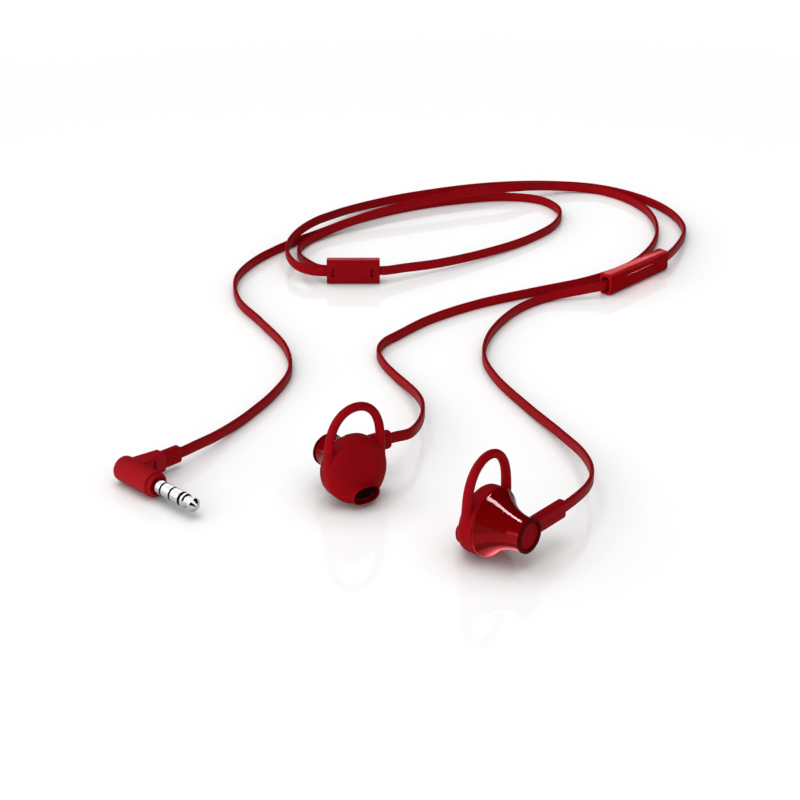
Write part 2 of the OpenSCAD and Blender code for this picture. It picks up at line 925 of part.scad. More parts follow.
right_lower_route = concat(
    [remote_end(-bush_x), remote_end(-remote_half - lead)],
    [
        [46.5, 134, 2.8], [35, 131.1, 1.5], [27, 124.3, lie], [20, 112.8, lie], [15.5, 99.8, lie],
        [14.3, 86.8, lie], [17, 73.8, lie], [24, 56.3, 1.5], [31.5, 38.3, 2.3], [35.5, 24.8, 3.8],
        [36.4, 11.8, 5.6], [34.2, 0.8, 7.3]
    ],
    [right_end(lead), right_end(-cable_seat)]
);

function heading(route, i) =
    unit(route[min(i + 1, len(route) - 1)] - route[max(i - 1, 0)]);

function cable_ring(p, t) =
    let (
        up = unit([0, 0, 1] - t * t[2]),
        side = cross(t, up),
        a = cable_t / 2,
        b = cable_w / 2,
        c = min(0.3, a - 0.1),
        section = [
            [a, c - b], [a, b - c], [a - c, b], [c - a, b],
            [-a, b - c], [-a, c - b], [c - a, -b], [a - c, -b]
        ]
    )
    [for (q = section) p + side * q[0] + up * q[1]];

module cable(route) {
    loft([for (i = [0 : len(route) - 1]) cable_ring(route[i], heading(route, i))]);
}

// Nodes

module left_ear_tip() { color(soft_red) at_left() ear_tip(); }
module left_ear_loop() { color(soft_red) at_left() ear_loop(); }
module left_front_housing() { color(red_dark) at_left() front_housing(); }
module left_nozzle_mesh() { color(black) at_left() nozzle_mesh(); }
module left_driver_frame() { color(black) at_left() driver_frame(); }
module left_diaphragm() { color(steel) at_left() diaphragm(); }
module left_voice_coil() { color(copper) at_left() voice_coil(); }
module left_pole_plate() { color(steel) at_left() pole_plate(); }
module left_magnet() { color(steel) at_left() magnet(); }
module left_yoke() { color(steel) at_left() yoke(); }
module left_driver_board() { color(board_green) at_left() driver_board(); }
module left_rear_housing() { color(red) at_left() rear_housing(); }
module left_cap_ring() { color(red_dark) at_left() cap_ring(); }
module left_end_cap() { color(red) at_left() end_cap(); }
module left_strain_relief() { color(soft_red) at_left() strain_relief(); }

module right_ear_tip() { color(soft_red) at_right() ear_tip(); }
module right_ear_loop() { color(soft_red) at_right() ear_loop(); }
module right_front_housing() { color(red_dark) at_right() front_housing(); }
module right_nozzle_mesh() { color(black) at_right() nozzle_mesh(); }
module right_driver_frame() { color(black) at_right() driver_frame(); }
module right_diaphragm() { color(steel) at_right() diaphragm(); }
module right_voice_coil() { color(copper) at_right() voice_coil(); }
module right_pole_plate() { color(steel) at_right() pole_plate(); }
module right_magnet() { color(steel) at_right() magnet(); }
module right_yoke() { color(steel) at_right() yoke(); }
module right_driver_board() { color(board_green) at_right() driver_board(); }
module right_rear_housing() { color(red) at_right() rear_housing(); }
module right_cap_ring() { color(red_dark) at_right() cap_ring(); }
module right_end_cap() { color(red) at_right() end_cap(); }
module right_strain_relief() { color(soft_red) at_right() strain_relief(); }

module remote_front_shell() { color(red) at_remote() remote_front(); }
module remote_rear_shell() { color(red) at_remote() remote_rear(); }
module remote_button() { color(red) at_remote() button(); }
module remote_board() { color(board_green) at_remote() board(); }
module dome_switch() { color(steel) at_remote() dome_spring(); }
module microphone() { color(steel) at_remote() mic(); }
module remote_lower_bush() { color(red_dark) at_remote() mirror([1, 0, 0]) bush(); }
module remote_upper_bush() { color(red_dark) at_remote() bush(); }

module splitter_body() { color(red) at_splitter() splitter_shell(); }
module splitter_core() { color(red_dark) at_splitter() splitter_joint(); }

module plug_body() { color(red) at_plug() plug_shell(); }
module plug_strain_relief() { color(soft_red) at_plug() plug_relief(); }
module plug_tip() { color(steel) at_plug() tip_contact(); }
module plug_front_ring() { color(steel) at_plug() contact_tube(collar_at[1] + collar_w, collar_at[2]); }
module plug_rear_ring() { color(steel) at_plug() contact_tube(collar_at[0] + collar_w, collar_at[1]); }
module plug_sleeve() { color(steel) at_plug() sleeve_contact(); }
module plug_insulator() { color(black) at_plug() insulator(); }

module main_cable() { color(soft_red) cable(main_route); }
module left_cable() { color(soft_red) cable(left_route); }
module right_upper_cable() { color(soft_red) cable(right_upper_route); }
module right_lower_cable() { color(soft_red) cable(right_lower_route); }

left_ear_tip();
left_ear_loop();
left_front_housing();
left_nozzle_mesh();
left_driver_frame();
left_diaphragm();
left_voice_coil();
left_pole_plate();
left_magnet();
left_yoke();
left_driver_board();
left_rear_housing();
left_cap_ring();
left_end_cap();
left_strain_relief();
right_ear_tip();
right_ear_loop();
right_front_housing();
right_nozzle_mesh();
right_driver_frame();
right_diaphragm();
right_voice_coil();
right_pole_plate();
right_magnet();
right_yoke();
right_driver_board();
right_rear_housing();
right_cap_ring();
right_end_cap();
right_strain_relief();
remote_front_shell();
remote_rear_shell();
remote_button();
remote_board();
dome_switch();
microphone();
remote_lower_bush();
remote_upper_bush();
splitter_body();
splitter_core();
plug_body();
plug_strain_relief();
plug_tip();
plug_front_ring();
plug_rear_ring();
plug_sleeve();
plug_insulator();
main_cable();
left_cable();
right_upper_cable();
right_lower_cable();
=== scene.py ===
"""Wired earphones: the looks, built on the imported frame."""
import json
import logging
import math
from dataclasses import dataclass, field
from enum import Enum
from typing import Sequence

import bmesh
import bpy
from mathutils import Matrix, Vector

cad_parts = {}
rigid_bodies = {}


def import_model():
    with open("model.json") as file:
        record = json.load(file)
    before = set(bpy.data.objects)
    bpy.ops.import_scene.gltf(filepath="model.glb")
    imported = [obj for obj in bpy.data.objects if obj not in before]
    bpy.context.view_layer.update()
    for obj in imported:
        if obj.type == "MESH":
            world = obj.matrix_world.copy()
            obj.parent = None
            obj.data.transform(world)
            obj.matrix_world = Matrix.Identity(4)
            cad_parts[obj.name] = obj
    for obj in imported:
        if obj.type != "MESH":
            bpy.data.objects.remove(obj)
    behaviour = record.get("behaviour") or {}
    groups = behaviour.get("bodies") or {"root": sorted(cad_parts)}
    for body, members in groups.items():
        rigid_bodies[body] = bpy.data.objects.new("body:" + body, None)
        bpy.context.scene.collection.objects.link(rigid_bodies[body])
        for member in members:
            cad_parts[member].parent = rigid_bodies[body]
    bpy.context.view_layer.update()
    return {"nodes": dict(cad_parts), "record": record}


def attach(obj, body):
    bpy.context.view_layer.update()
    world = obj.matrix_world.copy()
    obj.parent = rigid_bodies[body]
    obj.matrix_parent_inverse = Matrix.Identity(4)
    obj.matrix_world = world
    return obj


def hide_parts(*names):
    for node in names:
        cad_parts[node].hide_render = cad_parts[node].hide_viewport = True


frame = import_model()

LOG = logging.getLogger("earphones")
MM = 0.001

# Points nearer than SAME_POINT are one point
# On a turned piece's axis, points start at NO_RADIUS and are joined within ON_AXIS
SAME_POINT = 1e-5
NO_RADIUS = 1e-4
ON_AXIS = 5e-4

# The least rounding of a box, and the least flat that it leaves, in millimetres
LEAST_EDGE = 1e-3

# The mouth's oval: 2 would be an ellipse, and more is squarer
OVAL = 2.5

# How far a cutter reaches past the surface, in millimetres
PAST = 1.0

# How far a cable runs straight out of its seat, in millimetres
LEAD = 1.6

Point2 = tuple[float, float]
Point3 = tuple[float, float, float]
Ring = list[Point3]
Obj = bpy.types.Object
Mesh = bpy.types.Mesh
Node = bpy.types.Node
Socket = bpy.types.NodeSocket


class Body(Enum):
    """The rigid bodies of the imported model."""

    EARPHONES = "earphones"
    BUTTON = "button"


class Side(Enum):
    """Which ear a piece belongs to."""

    LEFT = "left"
    RIGHT = "right"


@dataclass(frozen=True)
class Place:
    """Where a sub-assembly stands on the floor, in millimetres and degrees."""

    x: float
    y: float
    z: float
    yaw: float
    mirrored: bool = False

    def matrix(self) -> Matrix:
        """Makes the move from local millimetres to the frame's metres.

        Returns:
            The matrix, which scales, mirrors, turns and shifts in that order.
        """
        flip = Matrix.Diagonal((1, -1 if self.mirrored else 1, 1, 1))
        turn = Matrix.Rotation(math.radians(self.yaw), 4, "Z")
        shift = Matrix.Translation((self.x * MM, self.y * MM, self.z * MM))
        return shift @ turn @ flip @ Matrix.Scale(MM, 4)

    def point(self, x: float, y: float, z: float = 0.0) -> Point3:
        """Returns a local point in the frame, still in millimetres."""
        spot = self.matrix() @ Vector((x, y, z))
        return spot.x / MM, spot.y / MM, spot.z / MM


RIGHT_PLACE = Place(10.53, -15.55, 8.05, -40.0)
LEFT_PLACE = Place(-18.77, 8.95, 8.05, 123.0, True)
REMOTE_PLACE = Place(60.8, 146.9, 3.1, 47.6)
SPLITTER_PLACE = Place(-22.1, 146.4, 3.6, 0.0)
PLUG_PLACE = Place(-64.6, 9.7, 3.15, -45.5)


# Node trees


class Nodes:
    """Adds nodes to a node tree and links them."""

    def __init__(self, tree: bpy.types.NodeTree) -> None:
        """Works on that tree."""
        self.tree = tree

    def node(self, kind: str, inputs: dict[str | int, object] | None = None, **values: object) -> Node:
        """Adds a node.

        Args:
            kind: The node's type.
            inputs: What goes into it, as for fill.
            values: Its properties.

        Returns:
            The node.
        """
        node = self.tree.nodes.new(kind)
        for key, value in values.items():
            setattr(node, key, value)
        self.fill(node, inputs or {})
        return node

    def fill(self, node: Node, inputs: dict[str | int, object]) -> None:
        """Links a node's inputs to sockets, and sets the others to constants.

        Args:
            node: The node.
            inputs: Sockets or constants, by the input's name or number.
        """
        for key, value in inputs.items():
            if isinstance(value, Socket):
                self.tree.links.new(value, node.inputs[key])
            else:
                node.inputs[key].default_value = value

    def math(self, op: str, *terms: object) -> Socket:
        """Adds a calculation on numbers or sockets and returns its result."""
        return self.node("ShaderNodeMath", dict(enumerate(terms)), operation=op).outputs[0]


@dataclass(frozen=True)
class Finish:
    """One surface finish, made of shader nodes.

    Fine grain bumps the surface, and a broader cloud varies its colour and gloss.
    """

    name: str
    slot: str
    colour: Point3
    roughness: float
    metallic: float = 0.0
    specular: float = 0.5
    subsurface: float = 0.0
    bleed: Point3 = (0.6, 0.1, 0.1)
    bleed_depth: float = 0.0008
    grain_per_m: float = 6000.0
    grain_detail: float = 2.0
    grain_depth: float = 0.00001
    grain_strength: float = 0.15
    cloud_per_m: float = 160.0
    cloud_detail: float = 3.0
    cloud_span: Point2 = (0.3, 0.7)
    tone_spread: float = 0.06
    gloss_spread: float = 0.05
    smoothest: float = 0.02

    def build(self) -> bpy.types.Material:
        """Makes the material once, and finds it under its name after that.

        Returns:
            The material.
        """
        found = bpy.data.materials.get(self.name)
        if found:
            return found
        mat = bpy.data.materials.new(self.name)
        mat.use_nodes = True
        mat.diffuse_color = (*self.colour, 1.0)
        nodes = Nodes(mat.node_tree)
        place = nodes.node("ShaderNodeTexCoord").outputs["Object"]
        cloud = nodes.node("ShaderNodeTexNoise", {
            "Vector": place, "Scale": self.cloud_per_m, "Detail": self.cloud_detail}).outputs["Fac"]
        grain = nodes.node("ShaderNodeTexNoise", {
            "Vector": place, "Scale": self.grain_per_m, "Detail": self.grain_detail}).outputs["Fac"]
        bump = nodes.node("ShaderNodeBump", {
            "Height": grain, "Strength": self.grain_strength, "Distance": self.grain_depth})
        nodes.fill(mat.node_tree.nodes["Principled BSDF"], {
            "Base Color": self._tone(nodes, cloud),
            "Roughness": self._gloss(nodes, cloud),
            "Normal": bump.outputs["Normal"],
            "Metallic": self.metallic,
            "Specular IOR Level": self.specular,
            "Subsurface Weight": self.subsurface,
            "Subsurface Radius": self.bleed,
            "Subsurface Scale": self.bleed_depth,
        })
        return mat

    def _tone(self, nodes: Nodes, cloud: Socket) -> Socket:
        """Varies the base colour a little with the cloud.

        Args:
            nodes: The material's nodes.
            cloud: The noise that varies it.

        Returns:
            The colour's socket.
        """
        ramp = nodes.node("ShaderNodeValToRGB", {"Fac": cloud})
        shares = (1.0 - self.tone_spread, 1.0 + self.tone_spread)
        for stop, at, share in zip(ramp.color_ramp.elements, self.cloud_span, shares):
            stop.position = at
            stop.color = (*(min(1.0, c * share) for c in self.colour), 1.0)
        return ramp.outputs["Color"]

    def _gloss(self, nodes: Nodes, cloud: Socket) -> Socket:
        """Varies the roughness a little with the cloud.

        Args:
            nodes: The material's nodes.
            cloud: The noise that varies it.

        Returns:
            The roughness's socket.
        """
        low, high = self.cloud_span
        span = nodes.node("ShaderNodeMapRange", {
            "Value": cloud, "From Min": low, "From Max": high,
            "To Min": max(self.smoothest, self.roughness - self.gloss_spread),
            "To Max": min(1.0, self.roughness + self.gloss_spread)})
        return span.outputs["Result"]


SILICONE = Finish("tip_silicone", "silicone", (0.41, 0.0025, 0.008), 0.5, specular=0.05, subsurface=0.03,
                  grain_per_m=5200.0, grain_depth=0.00002, grain_strength=0.2, tone_spread=0.05)
GLOSS = Finish("horn_gloss", "gloss_red", (0.24, 0.001, 0.002), 0.05, specular=0.08, grain_strength=0.0,
               tone_spread=0.03, gloss_spread=0.0)
SATIN = Finish("plug_satin", "satin_red", (0.50, 0.006, 0.013), 0.38, specular=0.07, grain_per_m=9000.0,
               tone_spread=0.04)
SPLIT_RED = Finish("splitter_satin", "satin_red", (0.36, 0.003, 0.007), 0.25, specular=0.05,
                   grain_per_m=9000.0, tone_spread=0.04)
REMOTE_RED = Finish("remote_satin", "satin_red", (0.37, 0.002, 0.005), 0.16, specular=0.008,
                    grain_per_m=9000.0, tone_spread=0.04)
MATTE = Finish("cap_matte", "matte_red", (0.36, 0.003, 0.009), 0.6, specular=0.03, grain_per_m=7000.0,
               grain_strength=0.3)
RING = Finish("ring_dark", "dark_ring", (0.11, 0.0006, 0.0012), 0.25, specular=0.02, tone_spread=0.05)
RELIEF = Finish("relief_soft", "soft_relief", (0.40, 0.003, 0.008), 0.42, specular=0.04, grain_per_m=5200.0)
CABLE = Finish("cable_jacket", "cable_red", (0.40, 0.003, 0.008), 0.4, specular=0.04, grain_per_m=4200.0)
# Painted shade: a dark red for a tube put inside the mouth, and for the front housing seen there, where the
# mouth is in shade.
SHADE_LINER = Finish("liner_painted_shade", "gloss_red", (0.12, 0.001, 0.002), 0.6, specular=0.03)
BUSH = Finish("bush_dark", "dark_rubber", (0.02, 0.001, 0.002), 0.7, specular=0.1)
CHROME = Finish("chrome_plate", "chrome_pin", (0.88, 0.88, 0.89), 0.1, metallic=1.0, grain_strength=0.02,
                tone_spread=0.02, gloss_spread=0.02)
BLACK = Finish("collar_black", "black_plastic", (0.006, 0.006, 0.006), 0.5, specular=0.05)
STEEL = Finish("plain_steel", "steel", (0.5, 0.5, 0.52), 0.32, metallic=1.0, gloss_spread=0.08)
# Painted shade: the wire screen and the nozzle's mesh take the dark red of the shaded mouth instead of a steel
# colour.
SHADED_SCREEN = Finish("screen_wire", "steel_mesh", (0.02, 0.001, 0.002), 0.7, specular=0.05)
COPPER = Finish("coil_copper", "copper", (0.6, 0.28, 0.14), 0.35, metallic=1.0)
FILM = Finish("film_clear", "clear_film", (0.55, 0.53, 0.45), 0.25)
BOARD = Finish("board_green", "board", (0.02, 0.13, 0.06), 0.4)

# The finish of a solid that stays in view or inside, by its slot in the record
SLOT_FINISH: dict[str, Finish] = {
    finish.slot: finish for finish in (SILICONE, GLOSS, SATIN, MATTE, RING, RELIEF, CABLE, BUSH, CHROME,
                                       BLACK, STEEL, SHADED_SCREEN, COPPER, FILM, BOARD)}


# Mesh tools


def mix(a: float, b: float, s: float) -> float:
    """Returns the value a share s of the way from a to b."""
    return a + (b - a) * s


def bend(a: Vector, corner: Vector, b: Vector, s: float) -> Point2:
    """Returns the point a share s of the way from a to b, on a curve drawn towards the corner."""
    return tuple(a * (1 - s) ** 2 + corner * 2 * s * (1 - s) + b * s * s)


def quarter_arc(radius: float, steps: int) -> list[Point2]:
    """Returns (run, inset) along a quarter turn, from no run and no inset to the full radius in both."""
    turns = [math.pi / 2 * k / steps for k in range(steps + 1)]
    return [(radius * math.sin(turn), radius * (1 - math.cos(turn))) for turn in turns]


def weld(mesh: Mesh, reach: float) -> None:
    """Joins points within reach of one another and turns the faces outwards.

    Args:
        mesh: The mesh, which is changed in place.
        reach: How near two points have to be.
    """
    work = bmesh.new()
    work.from_mesh(mesh)
    bmesh.ops.remove_doubles(work, verts=work.verts, dist=reach)
    bmesh.ops.recalc_face_normals(work, faces=work.faces)
    work.to_mesh(mesh)
    work.free()


def mesh_from(name: str, verts: Sequence[Point3], faces: Sequence[Sequence[int]]) -> Mesh:
    """Makes a mesh with its faces turned outwards.

    Args:
        name: The mesh's name.
        verts: Points in local millimetres.
        faces: Vertex numbers of each face.

    Returns:
        The mesh.
    """
    mesh = bpy.data.meshes.new(name)
    mesh.from_pydata([tuple(v) for v in verts], [], [tuple(f) for f in faces])
    weld(mesh, SAME_POINT)
    return mesh


def object_from(name: str, data: bpy.types.ID) -> Obj:
    """Puts a mesh or other data into the scene as an object at the origin.

    Args:
        name: The object's name.
        data: Its mesh, curve, lamp or camera.

    Returns:
        The object.
    """
    obj = bpy.data.objects.new(name, data)
    bpy.context.scene.collection.objects.link(obj)
    return obj


def plain_mesh(obj: Obj) -> Mesh:
    """Copies an object's mesh as its modifiers leave it.

    Args:
        obj: The object, whose own mesh is left as it is.

    Returns:
        The new mesh.
    """
    graph = bpy.context.evaluated_depsgraph_get()
    graph.update()
    return bpy.data.meshes.new_from_object(obj.evaluated_get(graph), depsgraph=graph)


def bake(obj: Obj) -> None:
    """Turns an object's modifiers into plain mesh and removes them.

    Args:
        obj: The object, which gets a new mesh.
    """
    mesh = plain_mesh(obj)
    obj.modifiers.clear()
    old = obj.data
    obj.data = mesh
    bpy.data.meshes.remove(old)


def dress(obj: Obj, place: Place | None, finish: Finish, *nodes: str, body: Body = Body.EARPHONES,
          crisp: float = 40.0) -> Obj:
    """Sets a piece down, gives it its finish and body, and hides the CAD nodes that it stands for.

    Args:
        obj: The finished piece.
        place: Where it goes from local millimetres, or None where it is in the frame already.
        finish: What its surface is made of.
        nodes: CAD nodes that it replaces.
        body: The rigid body that it moves with.
        crisp: Edges sharper than this angle in degrees stay crisp.

    Returns:
        The piece.
    """
    obj.data.shade_smooth()
    obj.data.set_sharp_from_angle(angle=math.radians(crisp))
    if place:
        obj.data.transform(place.matrix())
        if place.mirrored:
            obj.data.flip_normals()
        obj.data.update()
    obj.data.materials.clear()
    obj.data.materials.append(finish.build())
    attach(obj, body.value)
    if nodes:
        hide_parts(*nodes)
    LOG.info("%s: %d faces, finish %s", obj.name, len(obj.data.polygons), finish.name)
    return obj


def loft(name: str, rings: Sequence[Ring], closed: bool = False) -> Obj:
    """Makes a solid through a row of rings, capped unless it closes on itself.

    Args:
        name: The piece's name.
        rings: Rings with the same number of points.
        closed: Whether the row of rings runs back to its start.

    Returns:
        The piece, in local millimetres.
    """
    count, around = len(rings), len(rings[0])
    faces = []
    for i in range(count if closed else count - 1):
        here, ahead = i * around, (i + 1) % count * around
        for j in range(around):
            n = (j + 1) % around
            faces.append([here + j, here + n, ahead + n, ahead + j])
    if not closed:
        faces.append(list(range(around)))
        faces.append([(count - 1) * around + j for j in range(around)])
    return object_from(name, mesh_from(name, [p for ring in rings for p in ring], faces))


def lathe(name: str, profile: Sequence[Point2], around: int = 128) -> Obj:
    """Turns a closed profile about local X.

    Args:
        name: The piece's name.
        profile: Points (distance along X, radius), in order round the section.
        around: How many steps the turn has.

    Returns:
        The piece, in local millimetres.
    """
    turns = [2 * math.pi * j / around for j in range(around)]
    rings = []
    for x, radius in profile:
        r = max(radius, NO_RADIUS)
        rings.append([(x, r * math.cos(turn), r * math.sin(turn)) for turn in turns])
    obj = loft(name, rings, closed=profile[0][1] > 0 and profile[-1][1] > 0)
    weld(obj.data, ON_AXIS)
    return obj


def rounded_corners(points: Sequence[Point3], steps: int = 6, most: float = 0.49) -> list[Point2]:
    """Rounds the corners of an open line.

    Args:
        points: (x, y, radius) of each corner; the ends keep their place.
        steps: How many steps an arc has.
        most: The share of a side that a rounding may take.

    Returns:
        The rounded line.
    """
    out: list[Point2] = [points[0][:2]]
    for last, (x, y, radius), coming in zip(points, points[1:], points[2:]):
        here = Vector((x, y))
        if radius <= 0:
            out.append(tuple(here))
            continue
        back, ahead = Vector(last[:2]) - here, Vector(coming[:2]) - here
        reach = min(radius / math.tan(back.angle(ahead) / 2), most * back.length, most * ahead.length)
        a, b = here + back.normalized() * reach, here + ahead.normalized() * reach
        out += [bend(a, here, b, k / steps) for k in range(steps + 1)]
    out.append(points[-1][:2])
    return out


def rounded_box(w: float, h: float, r: float, steps: int = 6) -> list[Point2]:
    """Draws a rounded rectangle about the origin.

    Args:
        w: Its width.
        h: Its height.
        r: Rounding of its corners.
        steps: How many steps a corner has.

    Returns:
        Its 4 * (steps + 1) points.
    """
    r = max(min(r, w / 2 - LEAST_EDGE, h / 2 - LEAST_EDGE), LEAST_EDGE)
    out = []
    for q, (sx, sy) in enumerate(((1, 1), (-1, 1), (-1, -1), (1, -1))):
        for k in range(steps + 1):
            a = math.pi / 2 * (q + k / steps)
            out.append((sx * (w / 2 - r) + r * math.cos(a), sy * (h / 2 - r) + r * math.sin(a)))
    return out


def rounded_block(length: float, thick: float, height: float, corner: float, edge: float,
                  steps: int = 6) -> list[Ring]:
    """Works out the rings of a block along X with rounded sides and ends.

    Args:
        length: Its size along X.
        thick: Its size along Y.
        height: Its size along Z.
        corner: Rounding of its long edges.
        edge: Rounding of its ends.
        steps: How many points the rounding of a long edge has.

    Returns:
        The rings, from -X to +X.
    """
    right = [(length / 2 - edge + run, inset) for run, inset in quarter_arc(edge, 5)]
    rings = []
    for x, inset in [(-x, inset) for x, inset in reversed(right)] + right:
        section = rounded_box(thick - 2 * inset, height - 2 * inset, corner - inset, steps)
        rings.append([(x, y, z) for y, z in section])
    return rings


def cut(obj: Obj, tool: Obj) -> None:
    """Cuts a tool's shape out of a piece and removes the tool.

    Args:
        obj: The piece.
        tool: The tool, in the piece's units.
    """
    mod = obj.modifiers.new("cut", "BOOLEAN")
    mod.operation = "DIFFERENCE"
    mod.solver = "EXACT"
    mod.object = tool
    bake(obj)
    bpy.data.objects.remove(tool)


def fuse(obj: Obj, voxel: float, passes: int) -> None:
    """Fuses overlapping shells into one skin and softens where they meet.

    Args:
        obj: The piece, in local millimetres.
        voxel: The skin's grid in millimetres.
        passes: How often the skin is smoothed.
    """
    mod = obj.modifiers.new("skin", "REMESH")
    mod.mode = "VOXEL"
    mod.voxel_size = voxel
    mod.use_smooth_shade = True
    soft = obj.modifiers.new("soften", "SMOOTH")
    soft.factor = 0.5
    soft.iterations = passes
    bake(obj)


def joined(name: str, parts: Sequence[Obj]) -> Obj:
    """Joins several shells into one object without fusing them.

    Args:
        name: The joined object's name.
        parts: The shells, which are removed.

    Returns:
        The joined object.
    """
    work = bmesh.new()
    for part in parts:
        work.from_mesh(part.data)
    mesh = bpy.data.meshes.new(name)
    work.to_mesh(mesh)
    work.free()
    for part in parts:
        bpy.data.objects.remove(part)
    return object_from(name, mesh)


# Geometry node trees


class GrowTree(Nodes):
    """A geometry node tree with named inputs, made in the script."""

    def __init__(self, name: str) -> None:
        """Starts an empty tree with geometry in and out.

        Args:
            name: The tree's name.
        """
        super().__init__(bpy.data.node_groups.new(name, "GeometryNodeTree"))
        for way in ("INPUT", "OUTPUT"):
            self.tree.interface.new_socket("Geometry", in_out=way, socket_type="NodeSocketGeometry")
        self.entry = self.node("NodeGroupInput")
        self.keys: dict[str, str] = {}

    def given(self, name: str, kind: str = "NodeSocketFloat") -> Socket:
        """Adds a named input, a length unless another kind is asked for.

        Args:
            name: The input's name.
            kind: The socket's type.

        Returns:
            Its socket inside the tree.
        """
        item = self.tree.interface.new_socket(name, in_out="INPUT", socket_type=kind)
        self.keys[name] = item.identifier
        return self.entry.outputs[name]

    def close(self, geometry: Socket) -> None:
        """Ends the tree: instances made real, then the material.

        Args:
            geometry: What the tree has made.
        """
        real = self.node("GeometryNodeRealizeInstances", {"Geometry": geometry})
        material = self.given("Material", "NodeSocketMaterial")
        paint = self.node("GeometryNodeSetMaterial", {
            "Geometry": real.outputs["Geometry"], "Material": material})
        self.node("NodeGroupOutput", {"Geometry": paint.outputs["Geometry"]})

    def grow(self, seed: Obj, finish: Finish, **sizes: float) -> Obj:
        """Runs the tree on an object and leaves a plain mesh object in its place.

        Args:
            seed: The object that the tree starts from.
            finish: What the result is made of.
            sizes: Named inputs, in the tree's units.

        Returns:
            The new object, under the same name.
        """
        mod = seed.modifiers.new("grow", "NODES")
        mod.node_group = self.tree
        for key, value in {**sizes, "Material": finish.build()}.items():
            mod[self.keys[key]] = value
        name, mesh = seed.name, plain_mesh(seed)
        bpy.data.objects.remove(seed)
        mesh.name = name
        return object_from(name, mesh)


def ribbon_tree(edge_steps: int = 4) -> GrowTree:
    """Makes the tree that sweeps a flat cable, on its edge, along a curve.

    Args:
        edge_steps: How many steps a rounded edge has.

    Returns:
        The tree.
    """
    tree = GrowTree("flat_cable")
    width, thick, edge = [tree.given(name) for name in ("Width", "Thickness", "Edge")]
    line = tree.node("GeometryNodeSetCurveNormal", {"Curve": tree.entry.outputs["Geometry"]}, mode="Z_UP")
    section = tree.node("GeometryNodeCurvePrimitiveQuadrilateral", {"Width": thick, "Height": width},
                        mode="RECTANGLE")
    fillet = tree.node("GeometryNodeFilletCurve", {
        "Curve": section.outputs["Curve"], "Radius": edge, "Count": edge_steps}, mode="POLY")
    sweep = tree.node("GeometryNodeCurveToMesh", {
        "Curve": line.outputs["Curve"], "Profile Curve": fillet.outputs["Curve"], "Fill Caps": True})
    tree.close(sweep.outputs["Mesh"])
    return tree


def screen_tree(across: int = 25, down: int = 15, wire_sides: int = 6, rim: float = 0.98) -> GrowTree:
    """Makes the tree that weaves an oval wire screen out of a grid.

    Args:
        across: How many wires stand side by side.
        down: How many wires lie above one another.
        wire_sides: How many sides a wire has.
        rim: The share of the oval that the wires fill.

    Returns:
        The tree.
    """
    tree = GrowTree("nozzle_screen")
    half_w, half_h, wire = [tree.given(name) for name in ("Half Width", "Half Height", "Wire")]
    grid = tree.node("GeometryNodeMeshGrid", {
        "Vertices X": across, "Vertices Y": down,
        "Size X": tree.math("MULTIPLY", half_w, 2.0), "Size Y": tree.math("MULTIPLY", half_h, 2.0)})
    spot = tree.node("GeometryNodeInputPosition")
    parts = tree.node("ShaderNodeSeparateXYZ", {"Vector": spot.outputs["Position"]})
    terms = []
    for axis, half in (("X", half_w), ("Y", half_h)):
        share = tree.math("ABSOLUTE", tree.math("DIVIDE", parts.outputs[axis], half))
        terms.append(tree.math("POWER", share, OVAL))
    outside = tree.math("GREATER_THAN", tree.math("ADD", *terms), rim)
    trim = tree.node("GeometryNodeDeleteGeometry", {"Geometry": grid.outputs["Mesh"], "Selection": outside},
                     domain="POINT", mode="ALL")
    lines = tree.node("GeometryNodeMeshToCurve", {"Mesh": trim.outputs["Geometry"]})
    section = tree.node("GeometryNodeCurvePrimitiveCircle", {"Resolution": wire_sides, "Radius": wire},
                        mode="RADIUS")
    sweep = tree.node("GeometryNodeCurveToMesh", {
        "Curve": lines.outputs["Curve"], "Profile Curve": section.outputs["Curve"]})
    tree.close(sweep.outputs["Mesh"])
    return tree


# Sub-assemblies


@dataclass(frozen=True)
class Sleeve:
    """A flat faceted sleeve along local Y, with a shallow line down each flat and a rounded far end."""

    thick: float
    height: float
    slant: float
    start: float
    end: float
    corner_soft: float = 0.16
    groove: float = 0.07
    groove_half: float = 0.1
    groove_drop: float = 0.12
    end_soft: float = 0.7
    end_draw: float = 0.35

    def section(self, inset: float) -> list[Point2]:
        """Draws the eight-sided outline with softened corners.

        Args:
            inset: How far the outline is drawn in.

        Returns:
            The outline's points (x, z).
        """
        a, b, c = self.thick / 2 - inset, self.height / 2 - inset, self.slant
        half = [(a, c - b), (a, b - c), (a - c, b), (c - a, b)]
        corners = [Vector(p) for p in half + [(-x, -z) for x, z in half]]
        line = ((-self.groove_half, 0.0), (0.0, self.groove), (self.groove_half, 0.0))
        out: list[Point2] = []
        for i, here in enumerate(corners):
            back, ahead = [here + (corners[(i + step) % 8] - here).normalized() * self.corner_soft
                           for step in (-1, 1)]
            out += [bend(back, here, ahead, k / 4) for k in range(5)]
            if i in (0, 4):
                side = 1 if i == 0 else -1
                out += [(side * (a - deep), side * z - self.groove_drop) for z, deep in line]
        return out

    def build(self, name: str) -> Obj:
        """Makes the sleeve.

        Args:
            name: The piece's name.

        Returns:
            The sleeve, in local millimetres.
        """
        stations = [(self.start, 0.0), (mix(self.start, self.end, 0.5), 0.0)]
        stations += [(self.end - self.end_soft + self.end_soft * run, self.end_draw * inset)
                     for run, inset in quarter_arc(1.0, 6)]
        return loft(name, [[(x, y, z) for x, z in self.section(inset)] for y, inset in stations])


